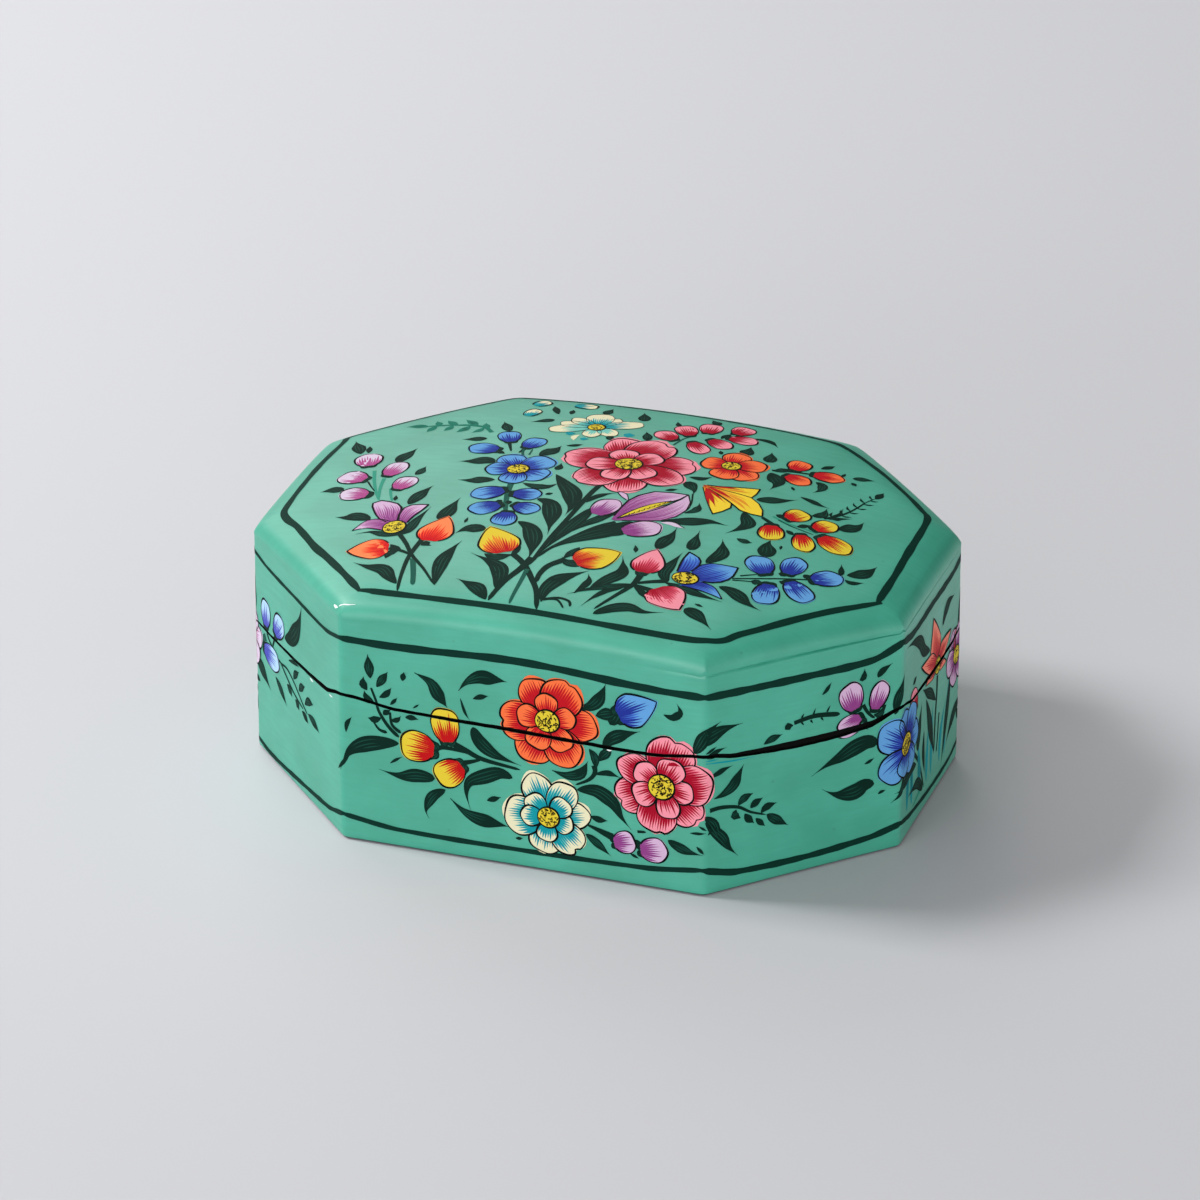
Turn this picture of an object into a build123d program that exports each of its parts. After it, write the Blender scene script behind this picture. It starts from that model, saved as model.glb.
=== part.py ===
from build123d import *
import math
import os

# An eight-sided papier mache box with a slightly domed lid that lifts off.
# Millimetres, +Z up, +X along the length, front towards -Y.
# The origin is the middle of the underside.

# Overall sizes
box_length = 150.0
box_width = 115.0
box_height = 64.0
corner_cut_x = 33.6  # what each cut corner takes off the length
corner_cut_y = 35.1  # what each cut corner takes off the width
corner_radius = 3.0  # the upright corners, softened by gesso
smallest_radius = 0.6  # the sharpest that an inner corner gets
match = 0.01  # how close two edges must lie to count as the same

# Base half
seam_height = 33.5  # where the lid meets the base
wall_thickness = 3.0
foot_radius = 1.4
floor_thickness = 2.5
floor_recess = 0.5  # the board sits this far up inside the wall

# Locating collar
collar_thickness = 1.5
collar_stand = 5.0  # how far it stands above the seam
collar_seat = 11.0  # how far it runs down inside the base
collar_joint = 0.4  # gap between the two ends of the strip
collar_easing = 0.4

# Lid half
lid_clearance = 0.35  # free play between the lid wall and the collar
crown_joint_height = 52.0  # top of the lid wall, where the crown is glued on
crown_thickness = 3.0
crown_radius = 470.0  # the dome is part of a ball of this radius
crown_overhang = 0.25  # the crown's rim stands this far proud of the walls
shoulder_drop = 2.4  # how far the edge of the dome slopes down
shoulder_width = 6.8  # how wide that slope is
rim_easing = 0.4  # both raw edges at the seam


def outline_corners():
    """The eight corners of the outline, anticlockwise."""
    half_length = box_length / 2
    half_width = box_width / 2
    short_side = half_width - corner_cut_y
    long_side = half_length - corner_cut_x
    return [
        (half_length, short_side),
        (long_side, half_width),
        (-long_side, half_width),
        (-half_length, short_side),
        (-half_length, -short_side),
        (-long_side, -half_width),
        (long_side, -half_width),
        (half_length, -short_side),
    ]


def footprint(inset):
    """The eight-sided outline, moved in by inset on every side."""
    outline = make_face(Polyline(*outline_corners(), close=True))
    if inset > 0:
        outline = offset(outline, amount=-inset, kind=Kind.INTERSECTION)
    radius = max(corner_radius - inset, smallest_radius)
    return fillet(outline.vertices(), radius)


def prism(inset, bottom, top):
    """The outline as an upright solid between two heights."""
    return Pos(0, 0, bottom) * extrude(footprint(inset), top - bottom)


def ring(outer_inset, thickness, bottom, top):
    """An upright wall that follows the outline."""
    return prism(outer_inset, bottom, top) - prism(outer_inset + thickness, bottom, top)


def outer_edges(solid, height):
    """The edges round the outside of a ring at one height."""
    level = solid.edges().filter_by_position(Axis.Z, height - match, height + match)
    loops = Wire.combine(level)
    return max(loops, key=lambda loop: loop.length).edges()


def edges_on(solid, like):
    """The edges of solid that run where the edges of like do."""
    middles = [edge @ 0.5 for edge in like]
    return [e for e in solid.edges() if any((e @ 0.5 - m).length < match for m in middles)]


def dome(lowered):
    """The ball that the crown is cut from, lowered for its underside."""
    return Pos(0, 0, box_height - crown_radius) * Sphere(crown_radius - lowered)


def shoulder_ball(corner, next_corner):
    """The dome's ball tipped outwards on one side, about the line where the slope starts."""
    along_x = next_corner[0] - corner[0]
    along_y = next_corner[1] - corner[1]
    side = math.hypot(along_x, along_y)
    out_x = along_y / side
    out_y = -along_x / side
    reach = corner[0] * out_x + corner[1] * out_y - shoulder_width
    height = box_height - crown_radius + math.sqrt(crown_radius**2 - reach**2)
    hinge = Axis((reach * out_x, reach * out_y, height), (-out_y, out_x, 0))
    return dome(0).rotate(hinge, math.degrees(math.atan(shoulder_drop / shoulder_width)))


def make_base_wall():
    wall = ring(crown_overhang, wall_thickness, 0, seam_height)
    wall = fillet(edges_on(wall, outer_edges(wall, 0)), foot_radius)
    return chamfer(edges_on(wall, outer_edges(wall, seam_height)), rim_easing)


def make_base_floor():
    inside = crown_overhang + wall_thickness
    return prism(inside, floor_recess, floor_recess + floor_thickness)


def make_locating_collar():
    outside = crown_overhang + wall_thickness
    top = seam_height + collar_stand
    collar = ring(outside, collar_thickness, seam_height - collar_seat, top)
    collar = chamfer(edges_on(collar, outer_edges(collar, top)), collar_easing)
    joint = Pos(0, box_width / 2, seam_height) * Box(collar_joint, box_width / 2, box_height)
    return collar - joint


def make_lid_wall():
    thickness = wall_thickness - lid_clearance
    wall = ring(crown_overhang, thickness, seam_height, crown_joint_height)
    return chamfer(edges_on(wall, outer_edges(wall, seam_height)), rim_easing)


def make_lid_crown():
    block = prism(0, crown_joint_height, box_height + shoulder_drop) & dome(0)
    corners = outline_corners()
    for corner, next_corner in zip(corners, corners[1:] + corners[:1]):
        block = block & shoulder_ball(corner, next_corner)
    inside = crown_overhang + wall_thickness - lid_clearance
    hollow = prism(inside, crown_joint_height, box_height) & dome(crown_thickness)
    return block - hollow


nodes = {
    "base_wall": make_base_wall,
    "base_floor": make_base_floor,
    "locating_collar": make_locating_collar,
    "lid_wall": make_lid_wall,
    "lid_crown": make_lid_crown,
}

os.makedirs("parts", exist_ok=True)
for name, make in nodes.items():
    piece = make()
    export_step(piece, "parts/" + name + ".step")
    print(name, "volume", round(piece.volume), "mm3")
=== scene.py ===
import bisect
import math
import random

import bmesh
import bpy
from mathutils import Matrix, Vector, noise


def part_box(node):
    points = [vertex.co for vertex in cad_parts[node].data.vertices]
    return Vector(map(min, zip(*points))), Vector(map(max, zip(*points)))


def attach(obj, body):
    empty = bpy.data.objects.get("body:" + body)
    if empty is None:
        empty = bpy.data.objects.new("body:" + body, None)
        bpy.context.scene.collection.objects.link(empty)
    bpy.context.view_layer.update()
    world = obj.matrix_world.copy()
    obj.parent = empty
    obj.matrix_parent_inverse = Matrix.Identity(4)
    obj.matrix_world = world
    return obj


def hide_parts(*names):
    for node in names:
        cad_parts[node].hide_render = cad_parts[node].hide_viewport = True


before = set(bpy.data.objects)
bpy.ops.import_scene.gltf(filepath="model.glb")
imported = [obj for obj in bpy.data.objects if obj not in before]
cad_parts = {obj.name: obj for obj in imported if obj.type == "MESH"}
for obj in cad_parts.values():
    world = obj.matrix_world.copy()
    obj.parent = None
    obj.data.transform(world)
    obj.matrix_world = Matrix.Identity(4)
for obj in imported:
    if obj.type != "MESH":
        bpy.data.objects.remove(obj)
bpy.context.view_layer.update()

mm = 0.001
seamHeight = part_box("lid_wall")[0][2] / mm  # where lid and base part
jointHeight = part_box("lid_crown")[0][2] / mm  # where the crown is glued on the lid's wall
halfLength, halfWidth, boxHeight = (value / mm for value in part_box("lid_crown")[1])


def linear(hexColour):
    # sRGB hex to the linear colour that a shader takes
    parts = [int(hexColour[i:i + 2], 16) / 255 for i in (1, 3, 5)]
    return [c / 12.92 if c <= 0.04045 else ((c + 0.055) / 1.055) ** 2.4 for c in parts] + [1.0]


def addNode(tree, kind, inputs=None, **settings):
    # adds a node, sets it, and gives each input a value or a link
    made = tree.nodes.new(kind)
    for name, value in settings.items():
        setattr(made, name, value)
    for name, value in (inputs or {}).items():
        if isinstance(value, bpy.types.NodeSocket):
            tree.links.new(value, made.inputs[name])
        else:
            made.inputs[name].default_value = value
    return made


def newMaterial(name):
    material = bpy.data.materials.new(name)
    material.use_nodes = True
    tree = material.node_tree
    tree.nodes.clear()
    return material, tree


# Water-based paint over gesso, brushed on and varnished: an even colour with faint streaks of
# the brush, soft dents from the hand smoothing and a few specks caught in the satin varnish.
lacquer = {
    "colour": "#2f9a80",
    "thin": "#3dab91",  # where the brush left less paint
    "thick": "#288e75",
    "speck": "#1c6a57",
    "clouds": 0.8,  # how much of the thin colour shows at most
    "streaks": 0.3,
    "specks": 0.3,
    "contrast": (0.35, 0.7),  # the noise levels where clouds and streaks begin and are full
    "streakWidth": 0.9,  # mm
    "cloudSize": 15.0,  # mm
    "speckSize": 0.5,  # mm
    "speckEdge": (0.03, 0.055),  # a speck fades between these shares of the spacing
    "dentSize": 7.0,  # mm
    "dent": 0.06,  # mm deep
    "streakRelief": 0.04,  # beside a dent's depth
    "speckRelief": 0.25,
    "roughness": (0.39, 0.51),
    "varnish": 0.7,
    "varnishRoughness": 0.54,
    "ior": 1.5,
}


def lacquerMaterial(name, streakAxes):
    material, tree = newMaterial(name)
    place = addNode(tree, "ShaderNodeTexCoord").outputs["Object"]
    streaked = addNode(tree, "ShaderNodeMapping", {"Vector": place, "Scale": streakAxes})
    streak = addNode(tree, "ShaderNodeTexNoise", {
        "Vector": streaked.outputs[0], "Scale": 1 / (lacquer["streakWidth"] * mm * 8),
        "Detail": 4.0, "Roughness": 0.6})
    cloud = addNode(tree, "ShaderNodeTexNoise", {
        "Vector": place, "Scale": 1 / (lacquer["cloudSize"] * mm), "Detail": 3.0, "Roughness": 0.55})
    dents = addNode(tree, "ShaderNodeTexNoise", {
        "Vector": place, "Scale": 1 / (lacquer["dentSize"] * mm), "Detail": 2.0, "Roughness": 0.4})
    speck = addNode(tree, "ShaderNodeTexVoronoi", {
        "Vector": place, "Scale": 1 / (lacquer["speckSize"] * mm * 16), "Randomness": 1.0})
    isSpeck = addNode(tree, "ShaderNodeMapRange", {
        "Value": speck.outputs["Distance"], "From Min": lacquer["speckEdge"][0],
        "From Max": lacquer["speckEdge"][1], "To Min": 1.0, "To Max": 0.0})
    begin, full = lacquer["contrast"]
    cloudShare = addNode(tree, "ShaderNodeMapRange", {
        "Value": cloud.outputs["Fac"], "From Min": begin, "From Max": full,
        "To Max": lacquer["clouds"]})
    streakShare = addNode(tree, "ShaderNodeMapRange", {
        "Value": streak.outputs["Fac"], "From Min": begin, "From Max": full,
        "To Max": lacquer["streaks"]})
    speckShare = addNode(tree, "ShaderNodeMath", {
        0: isSpeck.outputs[0], 1: lacquer["specks"]}, operation="MULTIPLY")
    tone = linear(lacquer["colour"])
    for share, other in ((cloudShare, "thin"), (streakShare, "thick"), (speckShare, "speck")):
        tone = addNode(tree, "ShaderNodeMix", {
            "Factor": share.outputs[0], 6: tone, 7: linear(lacquer[other])},
            data_type="RGBA").outputs[2]
    gloss = addNode(tree, "ShaderNodeMapRange", {
        "Value": streak.outputs["Fac"], "To Min": lacquer["roughness"][0],
        "To Max": lacquer["roughness"][1]})
    hairs = addNode(tree, "ShaderNodeMath", {
        0: streak.outputs["Fac"], 1: lacquer["streakRelief"], 2: dents.outputs["Fac"]},
        operation="MULTIPLY_ADD")
    grain = addNode(tree, "ShaderNodeMath", {
        0: isSpeck.outputs[0], 1: lacquer["speckRelief"], 2: hairs.outputs[0]},
        operation="MULTIPLY_ADD")
    bump = addNode(tree, "ShaderNodeBump", {
        "Height": grain.outputs[0], "Distance": lacquer["dent"] * mm, "Strength": 0.6})
    shader = addNode(tree, "ShaderNodeBsdfPrincipled", {
        "Base Color": tone, "Roughness": gloss.outputs[0], "Normal": bump.outputs[0],
        "IOR": lacquer["ior"], "Coat Weight": lacquer["varnish"],
        "Coat Roughness": lacquer["varnishRoughness"], "Coat IOR": lacquer["ior"]})
    addNode(tree, "ShaderNodeOutputMaterial", {"Surface": shader.outputs[0]})
    return material


# Black paint brushed on the inside and the underside with a satin varnish, and left bare on the sawn
# edges, where it stays matt. On those edges, which line the seam's gap, it is made nearly pure black:
# partly their own black paint and partly painted shade of the gap.
blackPaint = {
    "satin": {"colour": "#17181a", "worn": "#33302c", "roughness": (0.35, 0.6), "shine": 0.5},
    # the raw edge's near-black is partly the paint and partly painted shade inside the seam's gap
    "rawEdgeAndGapShade": {"colour": "#050505", "worn": "#12100e", "roughness": (0.7, 0.95), "shine": 0.1},
    "streakWidth": 1.4,  # mm
    "ripple": 0.08,  # mm
    "wear": 0.7,  # how much of the worn colour shows at most
    "contrast": (0.5, 0.78),  # the noise levels where the wear begins and is full
}


def blackMaterial(name, coat):
    material, tree = newMaterial(name)
    place = addNode(tree, "ShaderNodeTexCoord").outputs["Object"]
    streaked = addNode(tree, "ShaderNodeMapping", {"Vector": place, "Scale": (1.0, 5.0, 5.0)})
    streak = addNode(tree, "ShaderNodeTexNoise", {
        "Vector": streaked.outputs[0], "Scale": 1 / (blackPaint["streakWidth"] * mm * 10),
        "Detail": 5.0, "Roughness": 0.65})
    begin, full = blackPaint["contrast"]
    wear = addNode(tree, "ShaderNodeMapRange", {
        "Value": streak.outputs["Fac"], "From Min": begin, "From Max": full,
        "To Max": blackPaint["wear"]})
    tone = addNode(tree, "ShaderNodeMix", {
        "Factor": wear.outputs[0], 6: linear(coat["colour"]), 7: linear(coat["worn"])},
        data_type="RGBA")
    gloss = addNode(tree, "ShaderNodeMapRange", {
        "Value": streak.outputs["Fac"], "To Min": coat["roughness"][0],
        "To Max": coat["roughness"][1]})
    bump = addNode(tree, "ShaderNodeBump", {
        "Height": streak.outputs["Fac"], "Distance": blackPaint["ripple"] * mm, "Strength": 0.7})
    shader = addNode(tree, "ShaderNodeBsdfPrincipled", {
        "Base Color": tone.outputs[2], "Roughness": gloss.outputs[0], "Normal": bump.outputs[0],
        "IOR": 1.5, "Specular IOR Level": coat["shine"]})
    addNode(tree, "ShaderNodeOutputMaterial", {"Surface": shader.outputs[0]})
    return material


# Gouache laid with a fine squirrel brush: dense flat colour, a little chalky, whose shine is
# broken by the ridges that the hairs leave. The tones lie side by side as separate strokes.
pots = {
    "ink": "#050a09", "stain": "#1f7460", "leaf": "#05271e", "leafLight": "#14463a",
    "stem": "#1a5547", "sap": "#35927a", "band": "#062e25", "gesso": "#e9efec",
    "pollen": "#d9c236", "pollenShade": "#8a6a14",
}
flowerTones = {  # the flat ground, the middle strokes and the deep strokes
    "cobalt": ("#5f9bd2", "#3f69c2", "#22328e"),
    "rose": ("#ec8f9e", "#d24a62", "#a00a26"),
    "lilac": ("#cdaccb", "#b67dac", "#8a3f80"),
    "flame": ("#ff8450", "#ee4426", "#c80a16"),
    "orange": ("#f0703f", "#dc4026", "#b81420"),
    "saffron": ("#dcc236", "#e07f28", "#b81216"),
    "cream": ("#e2dcb8", "#74c1b4", "#12909a"),
    "sky": ("#a9cbe8", "#8a9ddd", "#4a4fae"),
    "coral": ("#f08a76", "#dd5c50", "#b02a34"),
    "mauve": ("#d2c1d6", "#c283b0", "#a84a86"),
    "tulip": ("#eccb37", "#e0912a", "#b5161a"),
}
for tone, colours in flowerTones.items():
    for step, colour in zip(("Light", "Mid", "Deep"), colours):
        pots[tone + step] = colour
paintFinish = {"roughness": (0.47, 0.65), "shine": 0.06, "hairWidth": 0.22, "ridge": 0.02}  # mm


def paintMaterial(pot):
    material, tree = newMaterial("gouache_" + pot)
    place = addNode(tree, "ShaderNodeTexCoord").outputs["Object"]
    hairs = addNode(tree, "ShaderNodeTexNoise", {
        "Vector": place, "Scale": 1 / (paintFinish["hairWidth"] * mm * 4), "Detail": 3.0})
    gloss = addNode(tree, "ShaderNodeMapRange", {
        "Value": hairs.outputs["Fac"], "To Min": paintFinish["roughness"][0],
        "To Max": paintFinish["roughness"][1]})
    bump = addNode(tree, "ShaderNodeBump", {
        "Height": hairs.outputs["Fac"], "Distance": paintFinish["ridge"] * mm, "Strength": 0.5})
    shader = addNode(tree, "ShaderNodeBsdfPrincipled", {
        "Base Color": linear(pots[pot]), "Roughness": gloss.outputs[0], "Normal": bump.outputs[0],
        "IOR": 1.5, "Specular IOR Level": paintFinish["shine"]})
    addNode(tree, "ShaderNodeOutputMaterial", {"Surface": shader.outputs[0]})
    return material


paints = {pot: paintMaterial(pot) for pot in pots}
wallLacquer = lacquerMaterial("green_lacquer_brushed_round", (1.0, 1.0, 9.0))
topLacquer = lacquerMaterial("green_lacquer_brushed_along", (1.0, 7.0, 1.0))
insideBlack = blackMaterial("black_paint_satin", blackPaint["satin"])
# the seam's raw edges: black paint darkened further as painted shade of the gap
edgeBlackAndGapShade = blackMaterial("black_paint_raw_edge_and_gap_shade", blackPaint["rawEdgeAndGapShade"])
print("materials made:", len(bpy.data.materials))

outline = {
    "cornerCutX": 33.6,
    "cornerCutY": 35.1,
    "cornerRadius": 3.0,
    "skin": 0.34,  # how far the finished face lies inside the crown's rim
    "wave": 0.12,  # how uneven the moulded faces are
    "waveLength": 40.0,
    "footRadius": 1.2,
    "beside": 0.72,  # how far from a side's middle to its end the values beside the middle lie
    "arcSteps": 6,  # facets round each corner
}
sideNames = ["front", "frontRight", "right", "backRight", "back", "backLeft", "left", "frontLeft"]


def outlineCorners():
    x1, y1 = halfLength - outline["cornerCutX"], halfWidth - outline["cornerCutY"]
    x2, y2 = halfLength, halfWidth
    return [(-x1, -y2), (x1, -y2), (x2, -y1), (x2, y1), (x1, y2), (-x1, y2), (-x2, y1), (-x2, -y1)]


def buildPath():
    # the outline as straight runs and corner arcs, each with the distance where it starts
    corners = outlineCorners()
    radius = outline["cornerRadius"]
    count = len(corners)
    sides = []
    for i in range(count):
        start, end = Vector(corners[i]), Vector(corners[(i + 1) % count])
        along = (end - start).normalized()
        sides.append({"start": start, "end": end, "along": along,
                      "out": Vector((along.y, -along.x))})
    for i, side in enumerate(sides):
        side["turn"] = side["out"].angle(sides[(i + 1) % count]["out"])
        side["reach"] = side["start"].dot(side["out"])
    runs, middles, corner, at = [], {}, {}, 0.0
    for i, side in enumerate(sides):
        before = radius * math.tan(sides[i - 1]["turn"] / 2)
        after = radius * math.tan(side["turn"] / 2)
        first = side["start"] + side["along"] * before
        last = side["end"] - side["along"] * after
        run = (last - first).length
        middle = (side["start"] + side["end"]).dot(side["along"]) / 2
        middles[sideNames[i]] = at + middle - first.dot(side["along"])
        runs.append((at, "straight", first, side))
        at += run
        corner[i] = (at, at + radius * side["turn"])
        runs.append((at, "arc", last - side["out"] * radius, side))
        at += radius * side["turn"]
    return sides, runs, middles, corner, at


sides, runs, sideMiddle, cornerSpan, pathLength = buildPath()
runStarts = [run[0] for run in runs]


def pathPoint(u):
    # place and outward direction at a distance along the outline
    u = u % pathLength
    start, kind, anchor, side = runs[bisect.bisect_right(runStarts, u) - 1]
    if kind == "straight":
        return anchor + side["along"] * (u - start), side["out"]
    turned = side["out"].copy()
    turned.rotate(Matrix.Rotation((u - start) / outline["cornerRadius"], 2))
    return anchor + turned * outline["cornerRadius"], turned


def roundTheBox(values, crisp=False):
    # a smooth closed curve through the values given on each side in turn: before its middle,
    # at its middle, after its middle and at the corner that follows
    at = []
    for i, name in enumerate(sideNames):
        middle = sideMiddle[name]
        reach = (cornerSpan[i][0] - middle) * outline["beside"]
        at += [middle - reach, middle, middle + reach, sum(cornerSpan[i]) / 2]
    count = len(at)

    def curve(u):
        u = (u - at[0]) % pathLength + at[0]
        k = bisect.bisect_right(at, u) - 1
        high = at[(k + 1) % count] + (pathLength if k + 1 == count else 0)
        t = (u - at[k]) / (high - at[k])
        a, b, c, d = (values[(k + j) % count] for j in (-1, 0, 1, 2))
        if crisp:  # a ruled line turns sharply at a corner
            a = 2 * b - c if k % 4 == 3 else a
            d = 2 * c - b if k % 4 == 2 else d
        return b + 0.5 * t * (c - a + t * (2 * a - 5 * b + 4 * c - d + t * (3 * (b - c) + d - a)))
    return curve


# The sawn seam wanders, and its raw edges are chipped wider in some places than in others.
seam = {
    "height": [
        33.7, 33.1, 32.5, 33.8, 32.5, 31.6, 32.1, 34.3, 32.6, 31.9, 31.8, 32.8, 33.0, 32.8, 33.0, 33.8,
        33.4, 33.2, 33.4, 34.0, 33.0, 32.6, 32.6, 33.0, 32.4, 32.0, 31.7, 31.7, 31.5, 31.9, 33.0, 35.3],
    "gap": [
        0.8, 1.0, 0.85, 0.9, 1.2, 2.0, 1.6, 0.8, 0.8, 1.2, 1.1, 0.8, 0.7, 0.6, 0.7, 0.6,
        0.6, 0.7, 0.6, 0.6, 0.6, 0.7, 0.6, 0.6, 0.7, 0.8, 0.7, 0.6, 0.7, 0.9, 1.1, 0.8],
    "reach": 5.0,  # how far above and below the seam its wandering is felt
    "cut": 0.18,  # where the paint stops, before the gap opens it further
    "depth": 1.3,  # how deep the gap runs in
    "rough": 0.1,  # how far the chipped edge strays
    "chip": 1.7,  # the length of a chip
}
seamLine = roundTheBox(seam["height"])
seamGap = roundTheBox(seam["gap"])


def seamRise(u):
    return seamLine(u) - seamHeight


def heightAt(u, v):
    # the real height of a nominal height v, which follows the seam where it is near
    away = v - seamHeight
    side = 1 if away > 0 else -1
    rough = seam["rough"] * noise.noise(Vector((u / seam["chip"], side * 3.0, 0.5)))
    opening = side * (seamGap(u) / 2 + rough - seam["cut"])
    near = math.exp(-(away / seam["reach"]) ** 2)
    edge = math.exp(-(away / (seam["reach"] * 0.3)) ** 2)
    return v + seamRise(u) * near + opening * edge


shoulder = {
    "drop": 2.4,  # how far the edge of the crown slopes down
    "width": 6.8,
    "softness": 0.36,
    "radius": 2.4,
    "blend": 5,  # how sharply the slopes of two sides meet
    "sunk": 2.6,  # how many waves deep the dome lies inside its box
    "ballRadius": 470.0,
    "groove": [0, 0, 0.03, 0.2, 0.5, 0.6, 0.55, 0.4, 0.22, 0.12, 0.08, 0.05] + [0.03] * 20,
    "grooveAt": (0.44, 0.14),  # its middle and half its width, as shares of the crown's edge
    "lumps": 0.7,  # how unevenly the groove was filled
    "lumpLength": 2.6,
}
shoulderGroove = roundTheBox(shoulder["groove"])


def wobble(x, y, z, length):
    return noise.noise(Vector((x, y, z)) / length)


def crownHeight(x, y):
    # the dome, with the softened slope near each side
    dome = boxHeight - shoulder["ballRadius"] + math.sqrt(shoulder["ballRadius"] ** 2 - x * x - y * y)
    total, nearest = 0.0, 1e9
    for side in sides:
        inside = side["reach"] - x * side["out"].x - y * side["out"].y
        nearest = min(nearest, inside)
        t = 1 - inside / shoulder["width"]
        if t > -1.5:
            fall = shoulder["drop"] * (math.hypot(t, shoulder["softness"]) + t) / 2
            total += fall ** shoulder["blend"]
    drop = total ** (1 / shoulder["blend"])
    s = max(nearest - outline["skin"], 0.0)
    radius = shoulder["radius"]
    if s < radius:
        drop += radius - math.sqrt(radius ** 2 - (radius - s) ** 2)
    wave = outline["wave"] * (wobble(x, y, 7.0, outline["waveLength"]) - shoulder["sunk"])
    return dome - drop + wave


def wallOffset(u, h):
    # how far the face stands out from the outline at a height: always a little inside it
    point, out = pathPoint(u)
    wave = outline["wave"] * wobble(point.x, point.y, h, outline["waveLength"])
    offset = -outline["skin"] + wave
    foot = outline["footRadius"]
    if h < foot:
        offset -= foot - math.sqrt(max(foot ** 2 - (foot - h) ** 2, 0.0))
    return offset


def wallPoint(u, v, lift=0.0):
    h = heightAt(u, v)
    point, out = pathPoint(u)
    place = point + out * (wallOffset(u, h) + lift)
    return Vector((place.x, place.y, h)) * mm


def crownPoint(x, y, lift=0.0):
    return Vector((x, y, crownHeight(x, y) + lift)) * mm


def stations(step):
    # distances along the outline: even along the sides, closer round the corners
    found, arcSteps = [], outline["arcSteps"]
    for i in range(len(sides)):
        begin = runs[2 * i][0]
        low, high = cornerSpan[i]
        count = max(2, round((low - begin) / step))
        found += [begin + (low - begin) * k / count for k in range(count)]
        found += [low + (high - low) * k / arcSteps for k in range(arcSteps)]
    return found


def newObject(name, mesh, materials):
    for material in materials:
        mesh.materials.append(material)
    mesh.polygons.foreach_set("use_smooth", [True] * len(mesh.polygons))
    mesh.update()
    piece = bpy.data.objects.new(name, mesh)
    bpy.context.scene.collection.objects.link(piece)
    return piece


def sweep(name, rows, slots, outside, closed, replaced, body):
    # rows are rings of points of one length; slots says which material lies above each row: 0 is
    # the wall's lacquer, 1 the black inside and 2 the one given
    width = len(rows[0])
    verts = [p for row in rows for p in row]
    faces, kinds = [], []
    count = len(rows) if closed else len(rows) - 1
    for r in range(count):
        a, b = r * width, ((r + 1) % len(rows)) * width
        for k in range(width):
            n = (k + 1) % width
            faces.append((a + k, a + n, b + n, b + k))
            kinds.append(slots[r])
    if not closed:
        faces += [list(range(width))[::-1], [(len(rows) - 1) * width + k for k in range(width)]]
        kinds += [slots[0], slots[-1]]
    mesh = bpy.data.meshes.new(name)
    mesh.from_pydata(verts, [], faces)
    mesh.polygons.foreach_set("material_index", kinds)
    mesh.set_sharp_from_angle(angle=math.radians(42))
    piece = newObject(name, mesh, [wallLacquer, insideBlack, outside])
    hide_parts(replaced)
    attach(piece, body)
    print(name, "faces:", len(faces))


wall = {
    "baseInside": 3.25,
    "lidInside": 2.9,
    "crownThickness": 3.0,
    "rowStep": 1.3,
    "ringStep": 1.6,
    # the black band at the foot is partly the underside's black paint and partly painted contact shadow
    "footBlackAndShadow": 0.5,  # how far up the black of the underside reaches
    "soleInset": 1.25,  # where the underside begins, inside the skin
}
ring = stations(wall["ringStep"])


def inward(depth, height):
    # a ring of points at a depth inside the outline
    row = []
    for u in ring:
        point, out = pathPoint(u)
        place = point - out * depth
        row.append(Vector((place.x, place.y, height(u) if callable(height) else height)) * mm)
    return row


def levels(low, high, step):
    count = max(1, math.ceil((high - low) / step))
    return [low + (high - low) * k / count for k in range(count + 1)]


def seamRows(v, inside, gapless):
    # the raw edge: a channel of the gap's height, which closes where the walls meet inside
    deep = outline["skin"] + seam["depth"]
    return [inward(deep - 0.2, lambda u: heightAt(u, v)),
            inward(deep, lambda u: seamLine(u) + gapless),
            inward(inside, lambda u: seamLine(u) + gapless)]


def makeBaseWall():
    inside, top = wall["baseInside"], seamHeight - seam["cut"]
    # close rows round the foot, then even ones
    # the black band up to the foot height is partly the underside's paint and partly painted contact
    # shadow
    heights = [0.1, 0.3, wall["footBlackAndShadow"], 0.8]
    heights += levels(outline["footRadius"], top, wall["rowStep"])
    rows = [inward(outline["skin"] + wall["soleInset"], 0.0)]
    rows += [[wallPoint(u, h) for u in ring] for h in heights]
    # the three seam bands get the raw edge's near-black, which is partly painted shade of the gap
    slots = [1, 1, 1] + [0] * (len(heights) - 3) + [2] * 3 + [1] * 2
    rows += seamRows(top, inside, -0.03) + [inward(inside, 0.0)]
    sweep("base_wall_moulded", rows, slots, edgeBlackAndGapShade, True, "base_wall", "base")


def makeLidWall():
    inside, low = wall["lidInside"], seamHeight + seam["cut"]
    heights = levels(low, jointHeight, wall["rowStep"])
    rows = seamRows(low, inside, 0.0)[::-1] + [[wallPoint(u, h) for u in ring] for h in heights]
    rows.append(inward(inside, jointHeight))
    # the three seam bands get the raw edge's near-black, which is partly painted shade of the gap
    slots = [2, 2, 2] + [0] * (len(heights) - 1) + [1, 1]
    sweep("lid_wall_moulded", rows, slots, edgeBlackAndGapShade, True, "lid_wall", "lid")


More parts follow.
